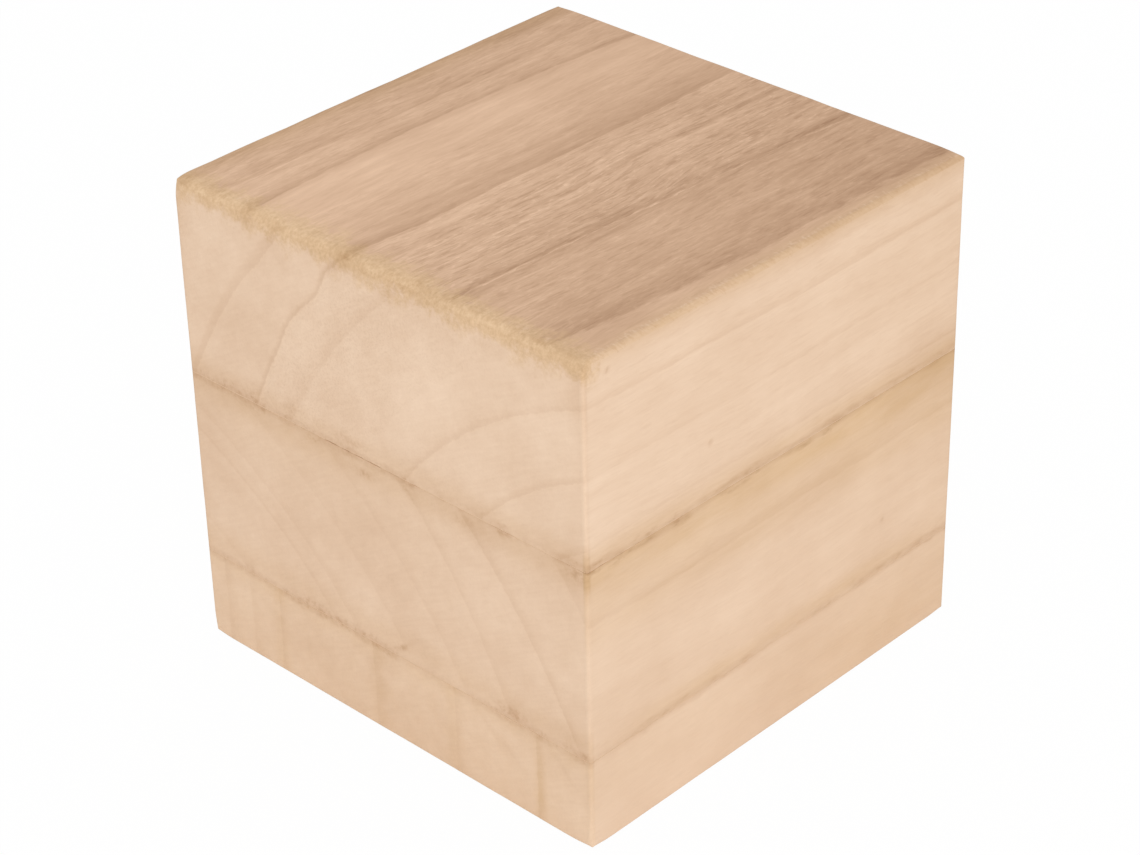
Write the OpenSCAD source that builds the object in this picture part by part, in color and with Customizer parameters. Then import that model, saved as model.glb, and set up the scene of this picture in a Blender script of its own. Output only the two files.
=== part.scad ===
// Wooden cube: three boards glued face to face, cut square and sanded.
// The grain runs along X, so the end grain shows on the two X faces.
// Origin at the middle of the underside, +Z up. Millimetres.

/* [Block] */
// Length along the grain, between the two end-grain faces
block_length = 100; // [60:0.1:150]
// Width across the grain
block_width = 100.4; // [60:0.1:150]

/* [Boards] */
// Thickness of the bottom board
bottom_board_t = 19.1; // [10:0.1:60]
// Thickness of the middle board
middle_board_t = 39.3; // [10:0.1:60]
// Thickness of the top board
top_board_t = 39.9; // [10:0.1:60]

/* [Glue lines] */
// Thickness of each cured glue film
glue_t = 0.2; // [0.1:0.05:0.5]
// How far each film stops short of the faces of the block
glue_recess = 0.3; // [0.1:0.05:1]

/* [Eased edges] */
// Radius of the top edges that run across the grain
top_end_ease = 2; // [0.3:0.1:5]
// Radius of the top edges that run along the grain
top_long_ease = 1; // [0.3:0.1:5]
// Radius of the four upright edges
upright_ease = 0.6; // [0.3:0.1:5]
// Radius of the edges round the underside
bottom_ease = 0.6; // [0.3:0.1:5]

/* [Hidden] */
$fn = 64;

// Heights of the layers, stacked from the underside up
lower_glue_z = bottom_board_t;
middle_board_z = lower_glue_z + glue_t;
upper_glue_z = middle_board_z + middle_board_t;
top_board_z = upper_glue_z + glue_t;
block_height = top_board_z + top_board_t;

// How far a cutting slab reaches past the block, and the least corner radius of a film
slab_margin = 1;
least_corner_r = 0.05;

// What rounding takes off a square corner at the origin: a square of side r, less the quarter disc
module corner_waste(r) {
    difference() {
        translate([-slab_margin, -slab_margin]) square(slab_margin + r);
        translate([r, r]) circle(r);
    }
}

// Outline w by h, centred on X and standing on Y = 0, with its own radius for the two
// low corners and the two high ones
module eased_outline(w, h, low_r, high_r) {
    difference() {
        translate([-w / 2, 0]) square([w, h]);
        for (side = [0, 1]) mirror([side, 0]) {
            translate([-w / 2, 0]) corner_waste(low_r);
            translate([-w / 2, h]) mirror([0, 1]) corner_waste(high_r);
        }
    }
}

// The block's outline seen from above, taken in by inset on every side
module plan_outline(inset = 0) {
    w = block_length - 2 * inset;
    h = block_width - 2 * inset;
    r = max(upright_ease - inset, least_corner_r);
    translate([0, -h / 2]) eased_outline(w, h, r, r);
}

// The whole block as it is sanded after the glue has set
module eased_block() {
    intersection() {
        linear_extrude(block_height) plan_outline();
        // the outline seen along Y, across the grain
        translate([0, block_width / 2 + slab_margin, 0]) rotate([90, 0, 0])
            linear_extrude(block_width + 2 * slab_margin)
                eased_outline(block_length, block_height, bottom_ease, top_end_ease);
        // the outline seen along X, the way of the grain
        translate([-block_length / 2 - slab_margin, 0, 0]) rotate([90, 0, 90])
            linear_extrude(block_length + 2 * slab_margin)
                eased_outline(block_width, block_height, bottom_ease, top_long_ease);
    }
}

// The layer of the block that lies between the heights z and z + t
module board(z, t) {
    intersection() {
        eased_block();
        translate([-block_length / 2 - slab_margin, -block_width / 2 - slab_margin, z])
            cube([block_length + 2 * slab_margin, block_width + 2 * slab_margin, t]);
    }
}

// A film of cured glue that fills the joint above the height z, short of the faces
module glue_film(z) {
    translate([0, 0, z]) linear_extrude(glue_t) plan_outline(glue_recess);
}

// Thin board with upright growth rings
module bottom_board() {
    color("#dfbf9c") board(0, bottom_board_t);
}

module lower_glue_film() {
    color("#a8845c") glue_film(lower_glue_z);
}

// Thick board with rings that fan out from below
module middle_board() {
    color("#e1c1a0") board(middle_board_z, middle_board_t);
}

module upper_glue_film() {
    color("#a8845c") glue_film(upper_glue_z);
}

// Thick board with the darker planed face up
module top_board() {
    color("#d6b394") board(top_board_z, top_board_t);
}

bottom_board();
lower_glue_film();
middle_board();
upper_glue_film();
top_board();
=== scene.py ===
"""Wooden cube: three paulownia boards glued face to face, cut square and sanded.

Lengths are millimetres in the block's own frame unless a name ends in _m. X runs along
the grain, Z is up and the origin is the middle of the underside. The near end is the
end-grain face at -X, the front is the long-grain face at -Y. Places across the grain are
given as `across`, the distance from the back face at +Y.
"""

import logging
import math
from dataclasses import dataclass, field
from enum import Enum
from functools import partial
from typing import Callable, ClassVar

import bpy
import numpy as np
from mathutils import Matrix, Vector

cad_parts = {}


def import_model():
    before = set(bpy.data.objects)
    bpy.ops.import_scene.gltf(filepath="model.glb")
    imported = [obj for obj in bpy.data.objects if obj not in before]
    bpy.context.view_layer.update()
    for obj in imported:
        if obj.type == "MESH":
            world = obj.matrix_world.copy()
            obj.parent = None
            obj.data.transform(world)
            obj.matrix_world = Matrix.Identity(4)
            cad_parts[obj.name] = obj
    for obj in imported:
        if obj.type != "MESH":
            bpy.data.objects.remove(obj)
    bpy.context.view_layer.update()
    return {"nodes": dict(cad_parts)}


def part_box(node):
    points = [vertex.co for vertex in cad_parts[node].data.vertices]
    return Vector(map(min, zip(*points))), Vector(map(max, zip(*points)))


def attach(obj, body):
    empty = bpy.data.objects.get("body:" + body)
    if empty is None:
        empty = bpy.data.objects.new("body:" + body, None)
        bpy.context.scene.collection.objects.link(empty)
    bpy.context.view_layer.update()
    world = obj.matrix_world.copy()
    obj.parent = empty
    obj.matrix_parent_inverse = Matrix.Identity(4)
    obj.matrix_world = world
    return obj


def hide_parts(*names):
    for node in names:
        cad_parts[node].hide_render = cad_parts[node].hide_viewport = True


LOG = logging.getLogger("wooden_cube")
MM_PER_M = 1000.0
BAKE_MAP = "OFBake"

# Values kept at each vertex, which the materials read; those of a joint end in its number
PHASE = "ring_phase"
SHADE = "patch_shade"
STAIN = "patch_stain"
CRUMBS = "patch_crumbs"
SMUDGE = "joint_smudge"
LIFT = "joint_lift"
OPEN = "joint_open"

MATH = "ShaderNodeMath"
VECTOR = "ShaderNodeVectorMath"
RANGE = "ShaderNodeMapRange"
NOISE = "ShaderNodeTexNoise"
MIX = "ShaderNodeMix"
RAMP = "ShaderNodeValToRGB"
SPLIT = "ShaderNodeSeparateXYZ"
JOIN = "ShaderNodeCombineXYZ"
TURN = "ShaderNodeVectorRotate"
ATTRIBUTE = "ShaderNodeAttribute"

# The setting that says what a node of each type does
MODES = {
    MATH: "operation",
    VECTOR: "operation",
    RANGE: "interpolation_type",
    MIX: "data_type",
    TURN: "rotation_type",
    ATTRIBUTE: "attribute_name",
}

# Places of the Mix node's sockets when it mixes colours
MIX_A = 6
MIX_B = 7
MIX_OUT = 2


def linear(
    colour: str, shade: float = 0.0, tilt: tuple[float, float, float] = (1.0, 1.0, 1.0)
) -> tuple[float, float, float, float]:
    """Turn an sRGB hex colour into the linear values that nodes take.

    Args:
        colour: "#rrggbb".
        shade: How many of the 255 steps of sRGB to take off.
        tilt: What red, green and blue each lose for one step.

    Returns:
        Red, green, blue and alpha.
    """
    channels = (
        (int(colour[i : i + 2], 16) - shade * share) / 255 for i, share in zip((1, 3, 5), tilt)
    )
    red, green, blue = (
        c / 12.92 if c <= 0.04045 else ((c + 0.055) / 1.055) ** 2.4 for c in channels
    )
    return red, green, blue, 1.0


def add(
    tree: bpy.types.NodeTree,
    kind: str,
    links: dict | tuple = (),
    mode: str = "",
    stops: tuple = (),
    interpolation: str = "LINEAR",
    **settings: object,
) -> bpy.types.Node:
    """Add a node, with its settings, values and links.

    Args:
        tree: Node tree of the material.
        kind: Type name of the node.
        links: Input values by socket name or place, or a tuple in socket order. A node
            stands for its first output.
        mode: What the node does, if it isn't what it does by default.
        stops: (place, colour) pairs, for a node with a colour ramp.
        interpolation: How the ramp runs between its stops.
        **settings: Properties of the node.

    Returns:
        The new node.
    """
    node = tree.nodes.new(kind)
    if mode:
        settings[MODES[kind]] = mode
    for name, value in settings.items():
        setattr(node, name, value)
    pairs = links.items() if isinstance(links, dict) else enumerate(links)
    for socket, value in pairs:
        if isinstance(value, bpy.types.Node):
            value = value.outputs[0]
        if isinstance(value, bpy.types.NodeSocket):
            tree.links.new(value, node.inputs[socket])
        else:
            node.inputs[socket].default_value = value
    if stops:
        ramp = node.color_ramp
        ramp.interpolation = interpolation
        while len(ramp.elements) < len(stops):
            ramp.elements.new(1.0)
        for element, (place, colour) in zip(ramp.elements, stops):
            element.position = place
            element.color = colour
    return node


def blank_tree(owner: bpy.types.Material | bpy.types.World) -> bpy.types.NodeTree:
    """Give a material or a world an empty node tree.

    Args:
        owner: The material or world.

    Returns:
        Its node tree.
    """
    owner.use_nodes = True
    owner.node_tree.nodes.clear()
    return owner.node_tree


def link_object(name: str, data: bpy.types.ID) -> bpy.types.Object:
    """Make an object and link it to the scene.

    Args:
        name: The object's name.
        data: Its mesh, light or camera.

    Returns:
        The object.
    """
    thing = bpy.data.objects.new(name, data)
    bpy.context.scene.collection.objects.link(thing)
    return thing


def make_mesh_object(name: str, points: np.ndarray, faces: list) -> bpy.types.Object:
    """Make an object of points and polygons.

    Args:
        name: Name of the object and of its mesh.
        points: Vertices in millimetres, one row each.
        faces: Vertex numbers of each polygon.

    Returns:
        The object, linked to the scene.
    """
    mesh = bpy.data.meshes.new(name)
    mesh.from_pydata((points / MM_PER_M).tolist(), [], faces)
    return link_object(name, mesh)


def store_values(mesh: bpy.types.Mesh, name: str, values: np.ndarray) -> None:
    """Store one number at each vertex, for the materials to read."""
    layer = mesh.attributes.new(name, "FLOAT", "POINT")
    layer.data.foreach_set("value", values.astype(np.float32))


def bearing(azimuth: float, elevation: float) -> Vector:
    """Turn a place round the block into a direction.

    Args:
        azimuth: Degrees round the block, from its front.
        elevation: Degrees above level.

    Returns:
        A vector of length one, away from the block.
    """
    azimuth, elevation = math.radians(azimuth), math.radians(elevation)
    level = math.cos(elevation)
    return Vector((math.sin(azimuth) * level, -math.cos(azimuth) * level, math.sin(elevation)))


class Seed(Enum):
    """Seeds of the noise, one for each thing that is uneven in its own way."""

    OUTER_FORM = 11
    TOP_RINGS = 21
    MIDDLE_RINGS = 22
    BOTTOM_RINGS = 23
    ARRISES = 31
    LOWER_FILM = 41
    UPPER_FILM = 42


class Lattice:
    """Smooth seeded noise from -1 to 1, from random values on a cubic lattice."""

    SIDE: ClassVar[int] = 32

    def __init__(self, seed: Seed) -> None:
        """Draw the lattice values from a seeded generator."""
        shape = (self.SIDE,) * 3
        self.values = np.random.default_rng(seed.value).uniform(-1, 1, shape)

    def at(self, points: np.ndarray, cell: float | tuple[float, float, float]) -> np.ndarray:
        """Noise at each point.

        Args:
            points: Places, one row each.
            cell: Lattice spacing, one number or one for each axis.

        Returns:
            One value for each point.
        """
        grid = points / np.asarray(cell, float)
        base = np.floor(grid).astype(int)
        t = grid - base
        t = t * t * (3 - 2 * t)
        total = np.zeros(len(points))
        for corner in np.ndindex(2, 2, 2):
            weight = np.prod(np.where(corner, t, 1 - t), axis=1)
            i, j, k = ((base + corner) % self.SIDE).T
            total += weight * self.values[i, j, k]
        return total

    def layered(self, points: np.ndarray, cell: float) -> np.ndarray:
        """Noise in three layers, each half the size and half the height of the last.

        Args:
            points: Places, one row each.
            cell: Spacing of the coarsest layer.

        Returns:
            One value for each point.
        """
        layers, shift = 3, 11.3
        return sum(
            self.at(points + shift * n, cell / 2**n) / 2 ** (n + 1) for n in range(layers)
        )

    def along(self, place: np.ndarray, track: float, cell: float) -> np.ndarray:
        """Layered noise at distances along a line; each track is another line."""
        across = np.full_like(place, track * cell)
        return self.layered(np.stack([place, across, across], axis=1), cell)


@dataclass(frozen=True)
class BlockSize:
    """Overall size of the block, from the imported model."""

    length: float
    width: float
    height: float

    @classmethod
    def from_frame(cls, nodes: dict) -> "BlockSize":
        """Read the size off the boxes of the CAD nodes.

        Args:
            nodes: The CAD nodes by name.

        Returns:
            The block's size.
        """
        boxes = [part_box(name) for name in nodes]
        low = [min(box[0][axis] for box in boxes) * MM_PER_M for axis in range(3)]
        high = [max(box[1][axis] for box in boxes) * MM_PER_M for axis in range(3)]
        return cls(*(end - start for start, end in zip(low, high)))

    @property
    def half_length(self) -> float:
        """Half the length, the X of the far end."""
        return self.length / 2

    @property
    def half_width(self) -> float:
        """Half the width, the Y of the back."""
        return self.width / 2


@dataclass(frozen=True)
class Wear:
    """A stretch of an edge that was sanded or knocked back further than the rest.

    `at` is its middle along the edge, and `depth` is what it adds to the radius there.
    """

    at: float
    reach: float
    depth: float


@dataclass(frozen=True)
class Easing:
    """How an edge of the block was rounded over by hand with sandpaper."""

    radius: float
    # How much of the radius comes and goes, and over what length
    wobble: float = 0.15
    wear: tuple[Wear, ...] = ()
    wobble_length: float = 9.0

    def radius_along(self, place: np.ndarray, track: float, noise: Lattice) -> np.ndarray:
        """Radius of the rounding at places along the edge.

        Args:
            place: Distances along the edge from its low end.
            track: Which edge, so that edges differ.
            noise: Where the unevenness comes from.

        Returns:
            One radius for each place.
        """
        uneven = noise.along(place, track, self.wobble_length)
        radius = self.radius * (1 + self.wobble * uneven)
        for stretch in self.wear:
            away = (place - stretch.at) / stretch.reach
            radius = radius + stretch.depth * np.exp(-(away**2))
        return radius


@dataclass(frozen=True)
class SandedBlock:
    """The outer form of the glued block: flat faces, with every edge eased by hand.

    The easings of the ends are near and far, those of the sides front and back, and those
    of the uprights near and far at the front, then near and far at the back.
    """

    size: BlockSize
    noise: Lattice
    top_ends: tuple[Easing, Easing]
    top_sides: tuple[Easing, Easing]
    foot_ends: tuple[Easing, Easing]
    foot_sides: tuple[Easing, Easing]
    uprights: tuple[Easing, Easing, Easing, Easing]
    # Largest radius of an edge
    reach: float = 3.4
    # Sanding waves: their depth, and their size along the grain, across it and upwards
    waviness: float = 0.05
    wave_cell: tuple[float, float, float] = (26.0, 17.0, 17.0)
    # Fibres torn out by the near top edge: how deep, how far from the edge, how wide a tear
    torn_depth: float = 0.22
    torn_reach: float = 3.6
    tear: float = 1.9

    def _pick(
        self, easings: tuple[Easing, ...], which: np.ndarray, place: np.ndarray, track: int
    ) -> np.ndarray:
        """Radius of the edge that each point is nearest to.

        Args:
            easings: The edges to pick from.
            which: Which of them each point is nearest to.
            place: Distance along that edge.
            track: Number of the first edge, so that edges differ.

        Returns:
            One radius for each point.
        """
        radius = np.zeros(len(place))
        for number, easing in enumerate(easings):
            own = which == number
            radius[own] = easing.radius_along(place[own], track + number, self.noise)
        return np.minimum(radius, self.reach)

    def _radii(self, points: np.ndarray) -> tuple[np.ndarray, np.ndarray, np.ndarray]:
        """Radii of the end, side and upright edges nearest to each point.

        Args:
            points: Places on the faces of the square block.

        Returns:
            The three radii, one value each for each point.
        """
        x, y, z = points.T
        far, back = (x > 0).astype(int), (y > 0).astype(int)
        high = z > self.size.height / 2
        across, along = self.size.half_width - y, x + self.size.half_length
        ends = np.where(
            high,
            self._pick(self.top_ends, far, across, 0),
            self._pick(self.foot_ends, far, across, 2),
        )
        sides = np.where(
            high,
            self._pick(self.top_sides, back, along, 4),
            self._pick(self.foot_sides, back, along, 6),
        )
        uprights = self._pick(self.uprights, far + 2 * back, z, 8)
        return ends, sides, uprights

    def _outside(self, points: np.ndarray, radii: tuple) -> np.ndarray:
        """How far each point is outside the eased form.

        Args:
            points: Places in or near the form.
            radii: Radii of the end, side and upright edges for each point.

        Returns:
            One value for each point, less than zero inside.
        """
        x, y, z = points.T
        from_end = self.size.half_length - np.abs(x)
        from_side = self.size.half_width - np.abs(y)
        from_face = np.minimum(z, self.size.height - z)
        pairs = ((from_end, from_face), (from_side, from_face), (from_end, from_side))
        worst = np.full(len(points), -np.inf)
        for (one, two), radius in zip(pairs, radii):
            a, b = radius - one, radius - two
            corner = np.hypot(np.maximum(a, 0), np.maximum(b, 0))
            worst = np.maximum(worst, corner + np.minimum(np.maximum(a, b), 0) - radius)
        return worst

    def settle(self, points: np.ndarray) -> np.ndarray:
        """Move points of the square block in onto the eased form.

        Args:
            points: Places on the faces of the square block.

        Returns:
            The same points on the sanded surface.
        """
        half = np.array([self.size.half_length, self.size.half_width]) - self.reach
        core = points.copy()
        core[:, :2] = np.clip(core[:, :2], -half, half)
        core[:, 2] = np.clip(core[:, 2], self.reach, self.size.height - self.reach)
        way = points - core
        radii = self._radii(points)
        low, high = np.zeros(len(points)), np.ones(len(points))
        # Enough halvings to find the surface to a few millionths of a millimetre
        halvings = 22
        for _ in range(halvings):
            middle = (low + high) / 2
            out = self._outside(core + way * middle[:, None], radii) > 0
            high = np.where(out, middle, high)
            low = np.where(out, low, middle)
        settled = core + way * low[:, None]
        length = np.maximum(np.linalg.norm(way, axis=1), 1e-9)
        inward = -way / length[:, None]
        return settled + inward * self._unevenness(settled)[:, None]

    def _unevenness(self, points: np.ndarray) -> np.ndarray:
        """Depth of the sanding waves everywhere and of the torn grain by the near top edge.

        Args:
            points: Places on the eased form.

        Returns:
            Millimetres inward, one value for each point.
        """
        x, _, z = points.T
        waves = self.noise.at(points, self.wave_cell) + 1
        from_edge = np.hypot(x + self.size.half_length, self.size.height - z)
        band = np.clip(1 - from_edge / self.torn_reach, 0, 1)
        elsewhere, extent = 57.0, 0.15
        torn = np.clip(self.noise.layered(points + elsewhere, self.tear) + extent, 0, 1)
        return self.waviness * waves / 2 + self.torn_depth * band * torn


@dataclass(frozen=True)
class RingLook:
    """How the start of a ring and the wood outside it look on one kind of face.

    All run from 0 to 1: how dark the boundary line is, how softly it fades outward, how
    strong the band of open-pored earlywood is, how dark the ring is as a whole (0.5 is
    plain), how far it darkens just before the next boundary, and how many pores show.
    """

    line: float = 0.1
    softness: float = 0.4
    early: float = 0.1
    tone: float = 0.5
    late: float = 0.0
    pores: float = 0.3

    def start(self) -> tuple[float, float, float, float]:
        """The values of the boundary and the band after it, as a ramp stop."""
        return self.line, self.softness, self.early, self.tone

    def rest(self) -> tuple[float, float, float, float]:
        """The values of the rest of the ring, as a ramp stop."""
        return self.late, self.pores, 0.0, 1.0


@dataclass(frozen=True)
class Ring:
    """The start of one year's growth.

    The radius is from the pith to the boundary in the level direction; `turn` is how much
    it has grown where the direction is upright, and `drift` how far it has moved at the
    near end, the middle and the far end of the block. Each kink is a direction in degrees
    above level and how far the boundary bulges outward there.
    """

    radius: float
    on_end: RingLook = RingLook()
    on_face: RingLook = RingLook()
    turn: float = 0.0
    drift: tuple[float, float, float] = (0.0, 0.0, 0.0)
    kinks: tuple[tuple[float, float], ...] = ()


@dataclass(frozen=True)
class GrowthRings:
    """The rings of the tree that a board was cut from, about its pith."""

    pith_across: float
    pith_height: float
    rings: tuple[Ring, ...]
    noise: Lattice
    block: BlockSize
    # How far a boundary strays in long bends, with smaller ones a share of that
    bend: float = 0.3
    small_bend: float = 0.28
    bend_cell: tuple[float, float, float] = (24.0, 30.0, 30.0)
    small_bend_cell: tuple[float, float, float] = (9.0, 7.0, 7.0)
    # Half the width of a kink, in degrees
    kink_width: float = 1.8
    # Within `even_zone` of a boundary the phase runs at one ring to `nominal` millimetres,
    # so that lines and bands look alike in wide rings and narrow ones
    nominal: float = 10.0
    even_zone: float = 3.0

    def _boundaries(self, points: np.ndarray) -> np.ndarray:
        """Radius of every boundary in the direction of each point.

        Args:
            points: Places in the board.

        Returns:
            One row for each ring, from the innermost out.
        """
        x, y, z = points.T
        across = self.block.half_width - y
        rise = np.abs(np.arctan2(z - self.pith_height, np.abs(across - self.pith_across)))
        t = x / self.block.half_length
        # Each ring takes its bends from another place in the noise
        next_ring, next_bend = 31.7, 9.1
        rows = []
        for number, ring in enumerate(self.rings):
            near, middle, far = ring.drift
            drift = near * t * (t - 1) / 2 + middle * (1 - t * t) + far * t * (t + 1) / 2
            place = np.stack([x, z, across], axis=1) + next_ring * number
            wave = self.noise.at(place, self.bend_cell) * self.bend
            small = self.noise.at(place + next_bend, self.small_bend_cell)
            wave += small * self.bend * self.small_bend
            turn = ring.turn * rise / (math.pi / 2)
            for angle, bulge in ring.kinks:
                aside = (np.degrees(rise) - angle) / self.kink_width
                turn = turn + bulge * np.exp(-(aside**2))
            rows.append(ring.radius + turn + drift + wave)
        return np.maximum.accumulate(np.array(rows), axis=0)

    def phase(self, points: np.ndarray) -> np.ndarray:
        """Which ring each point is in, with how far through it as the fraction.

        Args:
            points: Places in the board.

        Returns:
            One value for each point: 1 and up to 2 in the first ring of the list, and so on.
        """
        _, y, z = points.T
        across = self.block.half_width - y
        radius = np.hypot(across - self.pith_across, z - self.pith_height)
        rows = self._boundaries(points)
        far_off = 400.0
        rows = np.vstack([rows[:1] - far_off, rows, rows[-1:] + far_off])
        number = np.clip((radius >= rows).sum(axis=0) - 1, 0, len(rows) - 2)
        column = np.arange(len(points))
        inner, outer = rows[number, column], rows[number + 1, column]
        width = np.maximum(outer - inner, 1e-3)
        depth = np.clip(radius - inner, 0, width)
        largest_share = 0.3
        zone = np.minimum(self.even_zone, largest_share * width)
        step = zone / self.nominal
        through = (depth - zone) / np.maximum(width - 2 * zone, 1e-6)
        inside = step + through * (1 - 2 * step)
        start, end = depth / self.nominal, 1 - (width - depth) / self.nominal
        part = np.where(depth < zone, start, np.where(width - depth < zone, end, inside))
        almost_one = 0.9999
        return number + np.clip(part, 0, almost_one)


class Face(Enum):
    """Faces of a board, named as they lie in the block."""

    NEAR_END = "near_end"
    FAR_END = "far_end"
    FRONT = "front"
    BACK = "back"
    TOP = "top"
    FOOT = "foot"


WALLS = (Face.NEAR_END, Face.FRONT, Face.FAR_END, Face.BACK)


@dataclass(frozen=True)
class Island:
    """Where a face lies on the bake map, and whether it is turned a quarter."""

    left: float
    low: float
    turned: bool = False


@dataclass(frozen=True)
class BakeMap:
    """Where the faces of a board lie on its square bake map, in millimetres."""

    side: float
    islands: dict[Face, Island]

    GAP: ClassVar[float] = 2.0

    @classmethod
    def around(cls, outer: Face, size: BlockSize, wall: float) -> "BakeMap":
        """Lay the two ends beside an outer face and the two long walls above it.

        Args:
            outer: The outer face, which is the top or the foot.
            size: The block's size.
            wall: Height of the board's walls.

        Returns:
            The map.
        """
        first = max(size.length, size.width) + cls.GAP
        second = first + wall + cls.GAP
        islands = {
            outer: Island(0, 0),
            Face.NEAR_END: Island(first, 0, True),
            Face.FAR_END: Island(second, 0, True),
            Face.FRONT: Island(0, first),
            Face.BACK: Island(0, second),
        }
        return cls(second + wall + cls.GAP, islands)

    @classmethod
    def stacked(cls, wall: float) -> "BakeMap":
        """Lay the four walls one above the other.

        Args:
            wall: Height of the board's walls.

        Returns:
            The map.
        """
        row = wall + cls.GAP
        islands = {face: Island(0, number * row) for number, face in enumerate(WALLS)}
        return cls(len(WALLS) * row, islands)


@dataclass(frozen=True)
class JointRun:
    """A stretch of a glue line as it shows on a wall.

    How far the joint gapes and how smudged the wood beside it is run from 0 to 1. The
    middle of the smudge lies `lift` millimetres above the joint, and the stretch fades in
    and out over `fade` millimetres.
    """

    face: Face
    start: float
    end: float
    gape: float = 0.0
    smudge: float = 0.0
    lift: float = 0.0
    fade: float = 2.0

    def share(self, place: np.ndarray) -> np.ndarray:
        """How much of this stretch there is at places along the wall."""
        inward = np.minimum(place - self.start, self.end - place)
        return np.clip(inward / self.fade + 0.5, 0, 1)


@dataclass(frozen=True)
class Patch:
    """A soft-edged patch of a face that is darker, paler or dirtier than the rest.

    `along` runs from the face's left corner as seen and `up` from the underside, or on the
    top from the left edge and from the back. `reach` and `rise` are how far it spreads along
    and up, and `slope` is how much it climbs per millimetre along. `shade` is in steps of
    sRGB, and `stain` and `crumbs` of glue and dust run from 0 to 1.
    """

    face: Face
    along: float
    up: float
    reach: float
    rise: float
    shade: float = 0.0
    stain: float = 0.0
    slope: float = 0.0
    crumbs: float = 0.0

    def share(self, along: np.ndarray, up: np.ndarray) -> np.ndarray:
        """How much of the patch there is at places on its face.

        Args:
            along: Distances along the face.
            up: Distances up it.

        Returns:
            One value for each place, 1 in the middle of the patch.
        """
        aside = (along - self.along) / self.reach
        over = (up - self.up - self.slope * (along - self.along)) / self.rise
        return np.exp(-(aside**2) - over**2)


# The reach of a patch that covers its face from side to side, or from top to bottom
WHOLE = 200.0


def wall_place(
    size: BlockSize, face: Face, x: np.ndarray, y: np.ndarray
) -> tuple[np.ndarray, np.ndarray]:
    """Distance along a wall and whether each point is on it.

    Args:
        size: The block's size.
        face: Which wall.
        x: Places along the grain.
        y: Places across the grain.

    Returns:
        The distance from the wall's left corner as seen, and a mask.
    """
    # How far inside the square block a point still counts as on the wall
    skin = 0.8
    if face is Face.NEAR_END:
        return size.half_width - y, x < -size.half_length + skin
    if face is Face.FAR_END:
        return y + size.half_width, x > size.half_length - skin
    if face is Face.FRONT:
        return x + size.half_length, y < -size.half_width + skin
    return size.half_length - x, y > size.half_width - skin


@dataclass(frozen=True)
class Joint:
    """One glue line: its height and how it shows on the four walls."""

    height: float
    runs: tuple[JointRun, ...]

    def gape(self, size: BlockSize, x: np.ndarray, y: np.ndarray) -> np.ndarray:
        """How far the joint gapes at places round the block, from 0 to 1."""
        return self._strongest(size, x, y, lambda run: run.gape)

    def smudge(self, size: BlockSize, x: np.ndarray, y: np.ndarray) -> np.ndarray:
        """How smudged the wood beside the joint is round the block, from 0 to 1."""
        return self._strongest(size, x, y, lambda run: run.smudge)

    def lift(self, size: BlockSize, x: np.ndarray, y: np.ndarray) -> np.ndarray:
        """How far above the joint the middle of the smudge lies round the block.

        Args:
            size: The block's size.
            x: Places along the grain.
            y: Places across the grain.

        Returns:
            Millimetres, one value for each place.
        """
        # A weighted mean; the total starts just above zero so that it can be divided by
        total, moved = np.full(len(x), 1e-6), np.zeros(len(x))
        for run in self.runs:
            place, own = wall_place(size, run.face, x, y)
            share = run.smudge * own * run.share(place)
            total += share
            moved += share * run.lift
        return moved / total

    def _strongest(
        self,
        size: BlockSize,
        x: np.ndarray,
        y: np.ndarray,
        strength: Callable[[JointRun], float],
    ) -> np.ndarray:
        """The strongest value of any stretch at each place.

        Args:
            size: The block's size.
            x: Places along the grain.
            y: Places across the grain.
            strength: Gives the value of a stretch.

        Returns:
            One value for each place.
        """
        most = np.zeros(len(x))
        for run in self.runs:
            place, own = wall_place(size, run.face, x, y)
            most = np.maximum(most, strength(run) * own * run.share(place))
        return most


@dataclass
class Sheets:
    """Faces of a mesh as they are gathered, with their places on the bake map."""

    quads: list = field(default_factory=list)
    places: list = field(default_factory=list)

    def lay(
        self, ids: np.ndarray, u: np.ndarray, v: np.ndarray, flip: bool, island: Island
    ) -> None:
        """Add the quads of one rectangular sheet of vertices.

        Args:
            ids: Vertex numbers, rows by columns.
            u: Place of each vertex across the island.
            v: Place of each vertex up the island.
            flip: Whether the faces wind the other way.
            island: Where the island lies on the map.
        """
        u, v = u - u.min(), v - v.min()
        if island.turned:
            u, v = v.max() - v, u
        u, v = u + island.left, v + island.low
        self.quads.append(self._corners(ids, flip))
        around = np.stack([self._corners(u, flip), self._corners(v, flip)], axis=-1)
        self.places.append(around)

    @staticmethod
    def _corners(values: np.ndarray, flip: bool) -> np.ndarray:
        """The values at the four corners of every cell of a sheet.

        Args:
            values: One value for each vertex, rows by columns.
            flip: Whether the corners wind the other way.

        Returns:
            One row for each cell, in winding order.
        """
        corners = [values[:-1, :-1], values[1:, :-1], values[1:, 1:], values[:-1, 1:]]
        if flip:
            corners.reverse()
        return np.stack([c.ravel() for c in corners], axis=1)


def spaced(
    low: float,
    high: float,
    from_low: tuple[float, ...],
    from_high: tuple[float, ...],
    step: float,
) -> np.ndarray:
    """Line positions for a grid: given distances in from both ends, even steps between.

    Args:
        low: First position.
        high: Last position.
        from_low: Distances in from the first position.
        from_high: Distances in from the last position.
        step: Largest spacing between.

    Returns:
        The positions in rising order.
    """
    start, end = low + from_low[-1], high - from_high[-1]
    count = max(2, math.ceil((end - start) / step) + 1)
    middle = np.linspace(start, end, count)[1:-1]
    head = low + np.array(from_low)
    tail = high - np.array(from_high)[::-1]
    return np.concatenate([head, middle, tail])


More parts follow.
